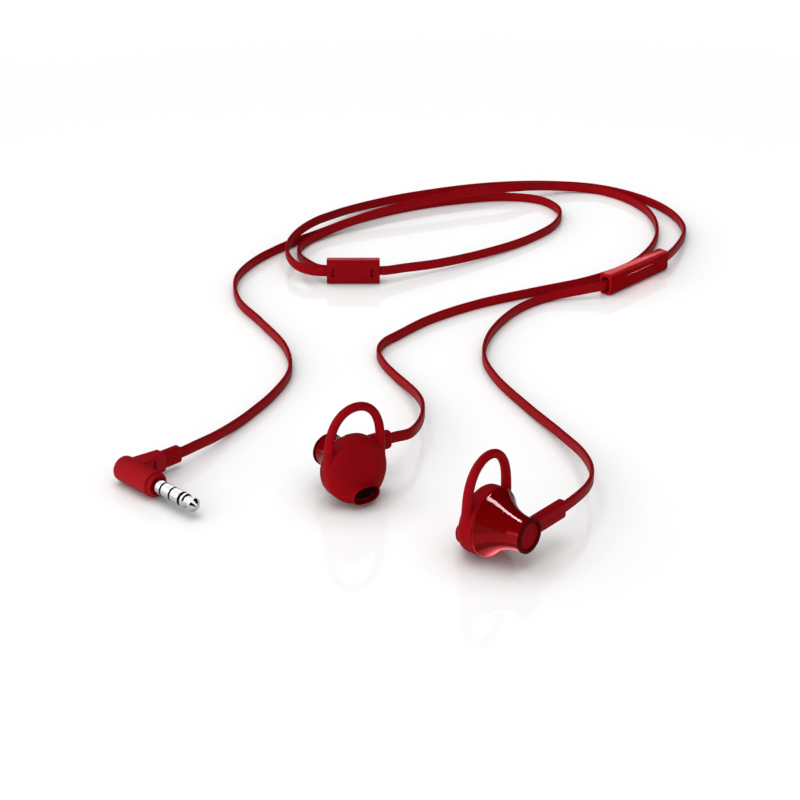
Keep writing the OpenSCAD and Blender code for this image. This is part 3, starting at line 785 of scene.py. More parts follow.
@dataclass
class Earpiece:
    """One earpiece: +X to the rear cap, +Y to the cable, the origin on the axis."""

    side: Side
    place: Place
    fit_gap: float = 0.05
    around: int = 96
    # Soft tip: lines across the lip and the painted-shade liner are (back from the mouth, inset)
    tip_d: float = 16.1
    tip_wall: float = 0.9
    nozzle_wall: float = 0.6
    band_back: float = 2.2
    band_edge: float = 0.15
    mouth_reach: float = 5.5
    mouth_w: float = 7.3
    mouth_h: float = 5.0
    mouth_drop: float = 4.5
    mouth_side: float = 0.2
    mouth_tilt: float = 10.0
    dome_steps: int = 36
    dome_ease: float = 1.7
    dome_lag: float = 0.8
    lip_len: float = 1.1
    lip_flare_w: float = 0.35
    lip_flare_h: float = 0.3
    lip_line: tuple[Point2, ...] = ((0.75, 0.1), (0.5, 0.02), (0.3, 0.0), (0.1, 0.03), (0.02, 0.1),
                                    (0.0, 0.18), (0.03, 0.27), (0.15, 0.34), (0.6, 0.37), (1.0, 0.4))
    shade_liner_line: tuple[Point2, ...] = ((0.14, 0.4), (0.6, 0.45), (1.0, 0.48), (1.0, 0.95), (0.94, 0.95),
                                      (0.94, 0.55), (0.6, 0.52), (0.14, 0.46))
    screen_in: float = 0.37
    screen_deep: float = 0.9
    screen_wire: float = 0.07
    skin_grid: float = 0.13
    skin_passes: int = 5
    # Ear loop
    loop_rise: float = 15.6
    loop_d: float = 2.1
    loop_lean: float = 0.5
    loop_x: float = 0.13
    loop_foot: float = 0.37
    loop_bow: float = 0.64
    leg_top: float = 5.2
    leg_steps: int = 14
    bow_steps: int = 60
    strap_w: float = 2.7
    strap_taper: float = 0.15
    strap_around: int = 32
    # Horn and cap
    shell_wall: float = 0.9
    cap_at: float = 12.3
    neck_d: float = 7.7
    neck_len: float = 0.6
    rim_step: float = 0.1
    rim_t: float = 0.3
    rim_edge: float = 0.08
    rim_turn: float = 0.25
    rim_steps: int = 4
    flare_steps: int = 96
    horn_around: int = 224
    cap_d: float = 8.2
    ring_w: float = 1.0
    ring_t: float = 0.7
    ring_edges: Point3 = (0.12, 0.22, 0.2)
    cap_inset: float = 0.3
    cap_root: float = 0.6
    cap_dish: float = 0.03
    cap_edges: Point2 = (0.1, 0.18)
    # Strain relief
    relief_len: float = 15.6
    relief_h: float = 4.6
    relief_t: float = 2.5
    relief_in: float = 2.8
    relief_root: float = 0.1
    relief_drop: float = 0.3
    relief_slant: float = 0.62
    cable_in: float = 2.0

    @property
    def tip_r(self) -> float:
        """Radius of the soft band."""
        return self.tip_d / 2

    @property
    def horn_r(self) -> float:
        """Radius of the housing inside the band."""
        return self.tip_r - self.tip_wall - self.fit_gap

    @property
    def relief_x(self) -> float:
        """Where the strain relief stands on X."""
        return self.cap_at - self.relief_in

    def name(self, piece: str) -> str:
        """Returns a piece's name with its side."""
        return f"{self.side.value}_{piece}"

    def outlet(self, d: float = 0.0) -> Point3:
        """Returns the point d beyond the strain relief, on the cable's line."""
        return self.place.point(self.relief_x, self.relief_len + d, -self.relief_drop)

    def lead(self) -> list[Point3]:
        """Returns the cable's first two points, from its seat outwards."""
        return [self.outlet(-self.cable_in), self.outlet(LEAD)]

    def ring(self, station: Sequence[float]) -> Ring:
        """Draws a ring of the tip.

        Args:
            station: Forward, half width, half height, side, drop, power of the oval and tilt.

        Returns:
            The ring's points.
        """
        fwd, half_w, half_h, side, drop, power, tilt = station
        out = []
        for i in range(self.around):
            a = 2 * math.pi * i / self.around
            c, s = math.cos(a), math.sin(a)
            y = half_w * math.copysign(abs(c) ** (2 / power), c)
            z = half_h * math.copysign(abs(s) ** (2 / power), s)
            out.append((-(fwd + z * math.tan(math.radians(tilt))), y - side, z - drop))
        return out

    def dome(self, u: float, gap: float) -> Ring:
        """Draws a ring of the dome.

        Args:
            u: Where it is, from 0 at the band to 1 at the lip.
            gap: Its depth below the skin.

        Returns:
            The ring's points.
        """
        v = u ** self.dome_ease
        s = (1 - math.cos(math.pi * v)) / 2
        fwd = u * (self.mouth_reach - self.lip_len) - self.dome_lag * gap * math.sin(math.pi * v)
        half_w = mix(self.tip_r, self.mouth_w / 2 - self.lip_flare_w, s) - gap
        half_h = mix(self.tip_r, self.mouth_h / 2 - self.lip_flare_h, s) - gap
        return self.ring([fwd, half_w, half_h, self.mouth_side * s, self.mouth_drop * s, mix(2, OVAL, s), 0])

    def lip(self, back: float, inset: float) -> Ring:
        """Returns a ring of the mouth's lip."""
        return self.ring([self.mouth_reach - back, self.mouth_w / 2 - inset, self.mouth_h / 2 - inset,
                          self.mouth_side, self.mouth_drop, OVAL, self.mouth_tilt])

    def band(self, back: float, r: float) -> Ring:
        """Returns a round ring of the band."""
        return self.ring([-back, r, r, 0, 0, 2, 0])

    def skin(self) -> Obj:
        """Makes the soft dome, band and nozzle as one closed shell.

        Returns:
            The shell, in local millimetres.
        """
        edge, shares = self.band_edge, [i / self.dome_steps for i in range(self.dome_steps + 1)]
        rings = [self.band(self.band_back - inset, self.tip_r - edge + run)
                 for run, inset in quarter_arc(edge, 4)]
        rings += [self.dome(u, 0.0) for u in shares]
        rings += [self.lip(back, inset) for back, inset in self.lip_line]
        rings += [self.dome(u, mix(self.tip_wall, self.nozzle_wall, u)) for u in reversed(shares)]
        rings.append(self.band(self.band_back, self.tip_r - self.tip_wall))
        return loft(self.name("tip_skin"), rings, closed=True)

    def loop_line(self) -> list[tuple[float, float, float, float]]:
        """Works out the ear loop's line and its sections.

        Returns:
            The stations (y, z, half width, half thickness), foot to foot.
        """
        half, foot = self.tip_r - self.loop_d / 2, self.loop_foot * self.tip_r
        inner = self.tip_r - self.tip_wall + self.fit_gap
        leg_w, bow = self.strap_w - self.strap_taper, self.loop_rise - foot
        leg = []
        for k in range(self.leg_steps):
            z = self.leg_top * k / self.leg_steps
            low = max(self.tip_r - self.loop_d, math.sqrt(max(0.0, inner * inner - z * z)))
            wide = mix(self.strap_w, leg_w, k / self.leg_steps) / 2
            leg.append(((self.tip_r + low) / 2, z, wide, (self.tip_r - low) / 2))
        start = math.asin(((self.leg_top - foot) / bow) ** (1 / self.loop_bow))
        arch = []
        for k in range(self.bow_steps + 1):
            turn = mix(start, math.pi - start, k / self.bow_steps)
            y = half * math.cos(turn) + self.loop_lean * math.sin(turn)
            z = foot + bow * math.sin(turn) ** self.loop_bow
            rise = (z - self.leg_top) / (self.loop_rise - self.leg_top)
            arch.append((y, z, mix(leg_w, self.loop_d, max(0.0, rise)) / 2, self.loop_d / 2))
        return [*leg, *arch, *((-y, z, wide, thick) for y, z, wide, thick in reversed(leg))]

    def loop(self) -> Obj:
        """Makes the ear loop as a round strap whose feet run into the band.

        Returns:
            The strap, in local millimetres.
        """
        line = self.loop_line()
        rings = []
        for i, (y, z, wide, thick) in enumerate(line):
            a, b = line[max(0, i - 1)], line[min(len(line) - 1, i + 1)]
            run = Vector((b[0] - a[0], b[1] - a[1])).normalized()
            ring = []
            for k in range(self.strap_around):
                turn = 2 * math.pi * k / self.strap_around
                c, s = math.cos(turn), math.sin(turn)
                ring.append((self.loop_x + wide * c, y - thick * s * run.y, z + thick * s * run.x))
            rings.append(ring)
        return loft(self.name("loop_strap"), rings)

    def build_tip(self) -> None:
        """Makes the soft tip and its loop as one moulding."""
        obj = joined(self.name("soft_tip"), [self.skin(), self.loop()])
        fuse(obj, self.skin_grid, self.skin_passes)
        dress(obj, self.place, SILICONE, self.name("ear_tip"), self.name("ear_loop"), crisp=80.0)

    def build_screen(self, tree: GrowTree) -> None:
        """Makes the wire screen that closes the nozzle, in a dark red that is painted shade.

        Args:
            tree: The tree that weaves it.
        """
        seed = object_from(self.name("nozzle_screen"), bpy.data.meshes.new("seed"))
        obj = tree.grow(seed, SHADED_SCREEN, **{
            "Half Width": self.mouth_w / 2 - self.screen_in, "Half Height": self.mouth_h / 2 - self.screen_in,
            "Wire": self.screen_wire})
        lean, deep = -math.tan(math.radians(self.mouth_tilt)), self.screen_deep - self.mouth_reach
        obj.data.transform(Matrix(((0, lean, 1, deep), (1, 0, 0, -self.mouth_side), (0, 1, 0, -self.mouth_drop),
                                   (0, 0, 0, 1))))
        dress(obj, self.place, SHADED_SCREEN, self.name("nozzle_mesh"), crisp=60.0)

    def build_shade_liner(self) -> None:
        """Makes the dark tube that lines the mouth in front of the screen: painted shade inside the nozzle."""
        rings = [self.lip(back, inset) for back, inset in self.shade_liner_line]
        dress(loft(self.name("mouth_liner"), rings, closed=True), self.place, SHADE_LINER)

    def horn_profile(self, inset: float) -> list[Point2]:
        """Draws the horn's outside, or its inside.

        Args:
            inset: The wall's depth, or 0 for the outside.

        Returns:
            The profile's points, from the band to the cap.
        """
        end = self.cap_at - self.ring_t
        neck_r, neck_x = self.neck_d / 2, end - self.neck_len
        rim_r, rim_x = self.tip_r - self.rim_step, self.band_back + self.fit_gap
        start = rim_x + self.rim_t
        dx, dr = neck_x - start, rim_r - neck_r
        flare = (dx * dx + dr * dr) / (2 * dr)
        reach = flare + inset
        wide = math.asin(dx / reach)
        out: list[Point2] = []
        for k in range(self.flare_steps + 1):
            turn = wide * (1 - k / self.flare_steps)
            out.append((neck_x - reach * math.sin(turn), neck_r + flare - reach * math.cos(turn)))
        out.append((end, neck_r - inset))
        if inset:
            roof = self.horn_r - inset
            return [(0.0, roof), (start, roof), *[p for p in out if p[1] < roof]]
        lip = rounded_corners([(rim_x, self.horn_r, 0), (rim_x, rim_r, self.rim_edge),
                               (start, rim_r, self.rim_turn), (*out[self.rim_steps], 0)], 5)
        return [(0.0, self.horn_r), *lip, *out[self.rim_steps + 1:]]

    def build_horn(self) -> None:
        """Makes the glossy horn that widens from the cap to the band."""
        profile = self.horn_profile(0.0) + self.horn_profile(self.shell_wall)[::-1]
        obj = lathe(self.name("horn"), profile, self.horn_around)
        dress(obj, self.place, GLOSS, self.name("rear_housing"))

    def build_cap(self) -> None:
        """Makes the dark ring and the disc that sits inside it."""
        low, high = self.cap_at - self.ring_t, self.cap_at
        r, hole = self.cap_d / 2, self.cap_d / 2 - self.ring_w
        back, front, inner = self.ring_edges
        ring = rounded_corners([(low, hole, 0), (low, r, back), (high, r, front), (high, hole, inner),
                                (low, hole, 0)])
        dress(lathe(self.name("dark_ring"), ring[:-1]), self.place, RING, self.name("cap_ring"), crisp=50.0)
        root, face, edge = low - self.cap_root, high - self.cap_inset, hole - self.fit_gap
        back, front = self.cap_edges
        disc = rounded_corners([(root, 0, 0), (root, edge, back), (face, edge, front),
                                (face - self.cap_dish, 0, 0)])
        dress(lathe(self.name("cap_disc"), disc), self.place, MATTE, self.name("end_cap"), crisp=50.0)

    def build_relief(self) -> None:
        """Makes the flat faceted sleeve that the cable leaves through."""
        root = self.neck_d / 2 - self.shell_wall + self.relief_root
        sleeve = Sleeve(self.relief_t, self.relief_h, self.relief_slant, root, self.relief_len)
        obj = sleeve.build(self.name("relief_sleeve"))
        obj.data.transform(Matrix.Translation((self.relief_x, 0, -self.relief_drop)))
        dress(obj, self.place, RELIEF, self.name("strain_relief"), crisp=28.0)

    def build(self, screens: GrowTree) -> None:
        """Makes every piece of the earpiece.

        Args:
            screens: The tree that weaves the nozzle's screen.
        """
        self.build_tip()
        self.build_screen(screens)
        self.build_shade_liner()
        self.build_horn()
        self.build_cap()
        self.build_relief()


@dataclass
class Remote:
    """The in-line remote: +X to the splitter's end, -Y to the button."""

    place: Place = REMOTE_PLACE
    length: float = 28.6
    height: float = 6.2
    thick: float = 4.2
    corner: float = 1.1
    wall: float = 0.7
    split_y: float = 0.5
    seam: float = 0.04
    end_edge: float = 0.55
    recess: float = 3.6
    recess_edge: float = 0.12
    recess_mid: Point2 = (0.05, 0.03)
    recess_flat: float = 0.1
    cable_in: float = 2.8
    button_len: float = 14.0
    button_h: float = 2.8
    button_gap: float = 0.12
    button_proud: float = 0.25
    button_edge: float = 0.2
    button_flat: float = 0.002
    pocket_past: float = 0.5
    flange_lip: float = 0.5
    flange_gap: float = 0.05
    flange_t: float = 0.4

    def outlet(self, way: int, d: float = 0.0) -> Point3:
        """Returns the point d beyond the end that way (1 or -1), on the cable's line."""
        return self.place.point(way * (self.length / 2 + d), 0)

    def lead(self, way: int) -> list[Point3]:
        """Returns a cable's first two points at the end that way, from its seat outwards."""
        return [self.outlet(way, -self.cable_in), self.outlet(way, LEAD)]

    def tube(self, name: str) -> Obj:
        """Makes the whole shell: rounded outside, open oval ends, hollow inside.

        Args:
            name: The piece's name.

        Returns:
            The shell, in local millimetres.
        """
        half = self.length / 2
        oval_w, oval_h = self.thick - 2 * self.wall, self.height - 2 * self.wall
        rings = rounded_block(self.length, self.thick, self.height, self.corner, self.end_edge)
        back, out = self.recess_mid
        inner = [(half, self.recess_edge), (half - back, out), (half - self.recess_edge, 0.0),
                 (half - self.recess, 0.0)]
        for x, grow in inner + [(-x, grow) for x, grow in reversed(inner)]:
            section = rounded_box(oval_w + 2 * grow, oval_h + 2 * grow, oval_w / 2 - self.recess_flat + grow)
            rings.append([(x, y, z) for y, z in section])
        return loft(name, rings, closed=True)

    def half_shell(self, name: str, front: bool) -> Obj:
        """Cuts one half out of the shell along the seam.

        Args:
            name: The piece's name.
            front: Whether it is the half with the button.

        Returns:
            The half, in local millimetres.
        """
        obj = self.tube(name)
        level = self.split_y - self.seam / 2 if front else self.split_y + self.seam / 2
        work = bmesh.new()
        work.from_mesh(obj.data)
        bmesh.ops.bisect_plane(work, geom=[*work.verts, *work.edges, *work.faces], plane_co=(0, level, 0),
                               plane_no=(0, 1, 0), clear_outer=front, clear_inner=not front)
        bmesh.ops.holes_fill(work, edges=[e for e in work.edges if e.is_boundary])
        bmesh.ops.recalc_face_normals(work, faces=work.faces)
        work.to_mesh(obj.data)
        work.free()
        return obj

    def pill(self, name: str, grow: float, low: float, high: float, edge: float = 0.0) -> Obj:
        """Makes a pill-shaped block along Y.

        Args:
            name: The piece's name.
            grow: How far the outline is let out.
            low: Where it starts on Y, its outer face.
            high: Where it ends on Y.
            edge: Rounding of the outer face's edge.

        Returns:
            The block, in local millimetres.
        """
        rounding = quarter_arc(edge, 5)[::-1] if edge else [(0.0, 0.0)]
        rings = []
        for y, inset in [*((low + edge - run, inset) for run, inset in rounding), (high, 0.0)]:
            w, h = self.button_len + 2 * (grow - inset), self.button_h + 2 * (grow - inset)
            rings.append([(x, y, z) for x, z in rounded_box(w, h, h / 2 - self.button_flat, 14)])
        return loft(name, rings)

    def build(self) -> list[Obj]:
        """Makes both shells and the button.

        Returns:
            The front shell, the rear shell and the button.
        """
        face = -self.thick / 2
        front, rear = self.half_shell("remote_front", True), self.half_shell("remote_rear", False)
        cut(front, self.pill("pocket", self.button_gap, face - PAST, face + self.wall + self.pocket_past))
        dress(front, self.place, REMOTE_RED, "remote_front_shell", crisp=30.0)
        dress(rear, self.place, REMOTE_RED, "remote_rear_shell", crisp=30.0)
        back = face + self.wall + self.flange_gap
        cap = self.pill("cap", 0.0, face - self.button_proud, back, self.button_edge)
        flange = self.pill("flange", self.flange_lip, back, back + self.flange_t)
        button = joined("remote_pill", [cap, flange])
        dress(button, self.place, REMOTE_RED, "remote_button", body=Body.BUTTON)
        return [front, rear, button]


@dataclass
class Splitter:
    """The block where the two ear cables join."""

    place: Place = SPLITTER_PLACE
    length: float = 15.6
    height: float = 7.2
    thick: float = 4.4
    corner: float = 1.3
    end_edge: float = 0.35
    vents_at: Point2 = (-0.405, 0.33)
    vent_h: float = 2.4
    vent_w: float = 0.45
    vent_arm: float = 0.9
    vent_deep: float = 1.2
    cable_in: float = 3.2

    def outlet(self, way: int, d: float = 0.0, y: float = 0.0) -> Point3:
        """Returns the point d beyond the end that way (1 or -1), y beside the middle."""
        return self.place.point(way * (self.length / 2 + d), y)

    def lead(self, way: int, y: float = 0.0) -> list[Point3]:
        """Returns a cable's last two points at the end that way, inwards to its seat."""
        return [self.outlet(way, LEAD, y), self.outlet(way, -self.cable_in, y)]

    def vent(self, x: float) -> Obj:
        """Makes the tool for a bracket-shaped vent.

        Args:
            x: Where it stands along the block.

        Returns:
            The tool, in local millimetres.
        """
        h, w, a = self.vent_h / 2, self.vent_w, self.vent_arm
        line = [(0, -h), (a, -h), (a, -h + w), (w, -h + w), (w, h - w), (a, h - w), (a, h), (0, h)]
        face = -self.thick / 2
        return loft("vent", [[(x + p, y, z) for p, z in line] for y in (face - PAST, face + self.vent_deep)])

    def build(self) -> list[Obj]:
        """Makes the block.

        Returns:
            The block, as a list of one.
        """
        obj = loft("splitter_block", rounded_block(self.length, self.thick, self.height, self.corner,
                                                   self.end_edge, 8))
        for share in self.vents_at:
            cut(obj, self.vent(share * self.length))
        return [dress(obj, self.place, SPLIT_RED, "splitter_body", crisp=30.0)]


@dataclass
class Plug:
    """The angled plug: +X along the pin, +Y along the arm."""

    place: Place = PLUG_PLACE
    # Barrel, with a groove behind the bevelled ring on its front and a hollow round the pin's root
    barrel_d: float = 6.3
    barrel_len: float = 13.6
    barrel_round: float = 0.95
    front_len: float = 1.2
    front_gap: float = 0.42
    front_bevel: float = 0.6
    front_edge: float = 0.2
    front_over: float = 0.005
    groove_deep: float = 0.95
    ring_in: float = 0.15
    ring_soft: float = 0.1
    ring_flat: float = 0.05
    tool_ahead: float = 0.6
    hollow_gaps: Point2 = (0.45, 0.35)
    hollow_edge: float = 0.12
    hollow_deep: float = 0.9
    # Arm with a slot, and the boot on its end
    arm_in: float = 4.2
    arm_len: float = 8.6
    arm_root: float = 0.2
    arm_base: float = 5.8
    arm_w: float = 3.4
    arm_h: float = 5.0
    arm_rise: float = 0.4
    arm_ease: float = 0.85
    arm_corner: float = 0.7
    arm_steps: int = 24
    end_soft: float = 0.3
    end_from: float = 0.95
    skin_grid: float = 0.09
    skin_passes: int = 3
    slot_at: float = 4.5
    slot_w: float = 0.6
    slot_h: float = 2.8
    slot_rise: float = 0.4
    slot_out: float = 1.3
    slot_reach: float = 3.0
    slot_corner: float = 0.2
    relief_len: float = 13.8
    relief_h: float = 4.2
    relief_t: float = 2.4
    relief_in: float = 0.4
    relief_slant: float = 0.45
    cable_in: float = 2.0
    # Pin: the tip's line is (back from the end, inset, rounding)
    pin_d: float = 3.5
    pin_len: float = 14.5
    root_x: float = 0.2
    collars: Point3 = (2.3, 5.6, 8.9)
    collar_w: Point3 = (0.62, 0.62, 0.9)
    collar_in: float = 0.03
    contact_edge: float = 0.03
    core_r: float = 1.0
    rod_r: float = 0.5
    stub_len: float = 6.0
    stub_r: float = 1.4
    tip_line: tuple[Point3, ...] = ((4.1, 0, 0.12), (3.75, 0.45, 0.2), (3.3, 0.45, 0.4), (1.8, 0.06, 0.5),
                                    (1.3, 0.08, 0.3), (0.3, 1.0, 0.3), (0, 1.2, 0.2))

    @property
    def arm_x(self) -> float:
        """Where the arm's middle stands on X."""
        return -(self.barrel_len - self.arm_in)

    def outlet(self, d: float = 0.0) -> Point3:
        """Returns the point d beyond the boot, on the cable's line."""
        return self.place.point(self.arm_x, self.relief_len + d, self.arm_rise)

    def lead(self) -> list[Point3]:
        """Returns the cable's last two points, inwards to its seat."""
        return [self.outlet(LEAD), self.outlet(-self.cable_in)]

    def front_tool(self) -> Obj:
        """Turns the cutter that leaves the barrel's front edge, a groove and the bevelled ring.

        Returns:
            The cutter, in local millimetres.
        """
        r, back, ahead = self.barrel_d / 2, -self.front_len, self.tool_ahead
        ring, shoulder = back + self.front_gap, back - self.front_edge
        deep, edge = r - self.groove_deep, r - self.ring_in
        flat = edge - self.front_bevel - self.ring_flat
        soft, tight = self.ring_soft, self.ring_soft / 2
        line = rounded_corners([
            (back, deep, tight), (back, r - self.front_edge, soft), (shoulder, r + self.front_over, 0),
            (shoulder, r + PAST, 0), (ahead, r + PAST, 0), (ahead, flat, 0), (self.ring_flat, flat, soft),
            (-self.front_bevel, edge, soft), (ring, edge, soft), (ring, deep, tight)], 4)
        return lathe("front_tool", line)

    def barrel(self) -> Obj:
        """Makes the barrel with the hollow round the pin's root.

        Returns:
            The barrel, in local millimetres.
        """
        r, wide, deep = self.barrel_d / 2, self.pin_d / 2, -self.hollow_deep
        outer, inner = self.hollow_gaps
        return lathe("barrel", rounded_corners([
            (-self.barrel_len, 0, 0), (-self.barrel_len, r, self.barrel_round), (0.0, r, 0),
            (0.0, wide + outer, self.hollow_edge), (deep, wide + inner, 0), (deep, 0, 0)]))

    def arm(self) -> Obj:
        """Makes the tapered arm, with a softened end.

        Returns:
            The arm, in local millimetres.
        """
        rings = []
        for k in range(self.arm_steps + 1):
            s = k / self.arm_steps
            y = mix(self.arm_root, self.arm_len, s)
            inset = self.end_soft * max(0.0, (s - self.end_from) / (1 - self.end_from)) ** 2
            w = mix(self.arm_base, self.arm_w, s ** self.arm_ease)
            section = rounded_box(w - 2 * inset, self.arm_h - 2 * inset, self.arm_corner)
            rings.append([(self.arm_x + x, y, z + self.arm_rise) for x, z in section])
        return loft("arm", rings)

    def slot_tool(self) -> Obj:
        """Makes the cutter for the slot in the arm's side.

        Returns:
            The cutter, in local millimetres.
        """
        x_mid, z_mid = self.arm_x + self.arm_w / 2 + self.slot_out, self.arm_rise + self.slot_rise
        section = rounded_box(self.slot_reach, self.slot_h, self.slot_corner, 3)
        return loft("slot", [[(x_mid + x, y, z_mid + z) for x, z in section]
                             for y in (self.slot_at, self.slot_at + self.slot_w)])

    def build_body(self) -> Obj:
        """Makes the barrel and the tapered arm as one moulding with a slot.

        Returns:
            The dressed moulding.
        """
        body = joined("plug_moulding", [self.barrel(), self.arm()])
        fuse(body, self.skin_grid, self.skin_passes)
        cut(body, self.front_tool())
        cut(body, self.slot_tool())
        return dress(body, self.place, SATIN, "plug_body")

    def turned(self, name: str, line: Sequence[Point2], finish: Finish, node: str) -> Obj:
        """Makes and dresses one turned piece of the pin."""
        return dress(lathe(name, line, 96), self.place, finish, node)

    def build_pin(self) -> list[Obj]:
        """Makes the tip, the rings, the sleeve and the black collars between them.

        Returns:
            The dressed pieces of the pin.
        """
        r, stub, soft = self.pin_d / 2, -self.stub_len, self.contact_edge
        ends = [low + wide for low, wide in zip(self.collars, self.collar_w)]
        tip = rounded_corners([
            (stub, 0, 0), (stub, self.rod_r, 0), (ends[2], self.rod_r, 0), (ends[2], r, soft),
            *((self.pin_len - back, r - inset, turn) for back, inset, turn in self.tip_line),
            (self.pin_len, 0, 0)], 8)
        pieces = [self.turned("plug_tip_contact", tip, CHROME, "plug_tip")]
        rear = [(stub, self.core_r, 0), (stub, self.stub_r, 0), (self.root_x, self.stub_r, 0)]
        starts = [rear, [(ends[0], self.core_r, 0)], [(ends[1], self.core_r, 0)]]
        names = [("plug_sleeve_contact", "plug_sleeve"), ("plug_rear_contact", "plug_rear_ring"),
                 ("plug_front_contact", "plug_front_ring")]
        for (name, node), start, high in zip(names, starts, self.collars):
            line = [*start, (start[-1][0], r, soft), (high, r, soft), (high, self.core_r, 0)]
            pieces.append(self.turned(name, rounded_corners(line, 4), CHROME, node))
        black: list[Point2] = [(stub, self.rod_r), (stub, self.core_r)]
        for low, high in zip(self.collars, ends):
            top = r - self.collar_in
            black += [(low, self.core_r), (low, top), (high, top), (high, self.core_r)]
        black.append((ends[2], self.rod_r))
        return [*pieces, self.turned("plug_collars", black, BLACK, "plug_insulator")]

    def build(self) -> list[Obj]:
        """Makes every piece of the plug.

        Returns:
            The dressed pieces of the plug.
        """
        pieces = [self.build_body(), *self.build_pin()]
        boot = Sleeve(self.relief_t, self.relief_h, self.relief_slant, self.arm_len - self.relief_in,
                      self.relief_len).build("plug_sleeve_boot")
        boot.data.transform(Matrix.Translation((self.arm_x, 0, self.arm_rise)))
        return [*pieces, dress(boot, self.place, RELIEF, "plug_strain_relief", crisp=28.0)]


def spline_point(a: Vector, b: Vector, c: Vector, d: Vector, s: float) -> Vector:
    """Finds a point between b and c on a centripetal spline.

    Args:
        a: The point before.
        b: Where the stretch starts.
        c: Where it ends.
        d: The point after.
        s: The share of the way.

    Returns:
        The point.
    """
    knots = [0.0]
    for p, q in ((a, b), (b, c), (c, d)):
        knots.append(knots[-1] + max(SAME_POINT, (q - p).length) ** 0.5)
    at = mix(knots[1], knots[2], s)

    def between(p: Vector, q: Vector, low: int, high: int) -> Vector:
        """Returns the point on the way from p at one knot to q at another."""
        return p.lerp(q, (at - knots[low]) / (knots[high] - knots[low]))

    sides = [between(p, q, i, i + 1) for i, (p, q) in enumerate(((a, b), (b, c), (c, d)))]
    spans = [between(sides[i], sides[i + 1], i, i + 2) for i in (0, 1)]
    return between(*spans, 1, 2)


def even_line(points: Sequence[Vector], step: float) -> list[Point3]:
    """Spreads a line's points evenly along it.

    Args:
        points: The line's points.
        step: About how far apart the new points are.

    Returns:
        The new points, with the line's ends.
    """
    run = [0.0]
    for a, b in zip(points, points[1:]):
        run.append(run[-1] + (b - a).length)
    count = max(2, round(run[-1] / step))
    out: list[Point3] = []
    k = 0
    for i in range(count + 1):
        goal = run[-1] * i / count
        while k < len(run) - 2 and run[k + 1] < goal:
            k += 1
        span = run[k + 1] - run[k]
        out.append(tuple(points[k].lerp(points[k + 1], (goal - run[k]) / span if span else 0.0)))
    return out


@dataclass
class FlatCable:
    """One free stretch of the flat cable, which stands on its edge."""

    name: str
    node: str
    route: list[Point3]
    width: float = 2.7
    thick: float = 1.0
    edge: float = 0.32
    step: float = 0.7
    fine: int = 24
    path: list[Point3] = field(default_factory=list)

    def smooth_route(self) -> list[Point3]:
        """Draws an even line through the route's points, no lower than the floor lets it lie.

        Returns:
            The cable's middle line, in millimetres.
        """
        pts = [Vector(p) for p in self.route]
        pts = [pts[0] * 2 - pts[1], *pts, pts[-1] * 2 - pts[-2]]
        line: list[Vector] = []
        for a, b, c, d in zip(pts, pts[1:], pts[2:], pts[3:]):
            line += [spline_point(a, b, c, d, k / self.fine) for k in range(self.fine)]
        line.append(pts[-2])
        for p in line:
            p.z = max(p.z, self.width / 2)
        return even_line(line, self.step)

    def length(self) -> float:
        """Returns the path's length in millimetres."""
        return sum((Vector(a) - Vector(b)).length for a, b in zip(self.path, self.path[1:]))

    def build(self, tree: GrowTree) -> Obj:
        """Sweeps the cable along its route.

        Args:
            tree: The tree that sweeps it.

        Returns:
            The dressed cable.
        """
        self.path = self.smooth_route()
        curve = bpy.data.curves.new(self.name, "CURVE")
        curve.dimensions = "3D"
        spline = curve.splines.new("POLY")
        spline.points.add(len(self.path) - 1)
        for spot, p in zip(spline.points, self.path):
            spot.co = (p[0] * MM, p[1] * MM, p[2] * MM, 1.0)
        obj = tree.grow(object_from(self.name, curve), CABLE, Width=self.width * MM,
                        Thickness=self.thick * MM, Edge=self.edge * MM)
        return dress(obj, None, CABLE, self.node, crisp=50.0)

    def declare(self, leaves: Point3) -> None:
        """Logs how long the cable is.

        Args:
            leaves: Where it leaves its gland, in millimetres; not used.
        """
        round(self.length() * MM, 4)
        LOG.info("%s: %.1f mm of cable", self.name, self.length())


# The cables' routes between their ends in millimetres, lying on the floor or over one another

LIE = 1.35

MAIN_ROUTE: list[Point3] = [
    (-7, 149.8, 3.1), (3, 155.3, 2.4), (17.5, 165.8, 1.7), (31.5, 178.8, LIE), (40.5, 191.8, LIE),
    (42.8, 204.8, LIE), (37.5, 215, LIE), (26, 218.5, LIE), (10, 215.1, LIE), (-6.5, 207.8, LIE),
    (-22, 196.6, LIE), (-34, 183.6, LIE), (-42.5, 174.3, LIE), (-52, 159.8, LIE), (-56.5, 144.8, LIE),
    (-54.5, 127.8, LIE), (-47, 111.8, LIE), (-39.5, 94.3, LIE), (-37.5, 78.8, LIE), (-41, 64.3, LIE),
    (-46.4, 52, LIE), (-50.7, 43.4, 1.75), (-54.2, 36.6, 2.5), (-57.4, 31.3, 3.2),
]
LEFT_ROUTE: list[Point3] = [
    (-6.3, 29.3, 7.1), (-4.4, 34.3, 6.3), (-3.1, 41, 5.4), (-2.6, 47.8, 4.5), (-2.9, 54.6, 3.6),
    (-4.2, 61.4, 2.7), (-6.6, 68.6, 1.9), (-9.7, 76, 1.45), (-12.8, 84, LIE), (-14.2, 91.3, LIE),
    (-12.8, 97.6, LIE), (-9, 103, LIE), (0, 114.3, LIE), (14, 125.8, LIE), (31, 135.3, LIE),
    (46.5, 143.6, LIE), (59.5, 154.8, LIE), (68, 169.8, LIE), (72.2, 186.8, LIE), (71, 204.8, LIE),
    (64.5, 218.3, LIE),
    (55.5, 225.8, LIE), (44.5, 226.1, 2.2), (34.5, 221.3, 3.9), (26, 216.6, 4.9), (13, 211.8, 4.9),
    (-2, 204.4, 4.5), (-16.5, 196.2, 3.5), (-27.8, 187.4, 2.3), (-32, 183, 1.8), (-35.8, 178.6, 1.5),
    (-39, 170.8, LIE), (-38.6, 162.8, 1.7), (-35.8, 154, 2.9),
]
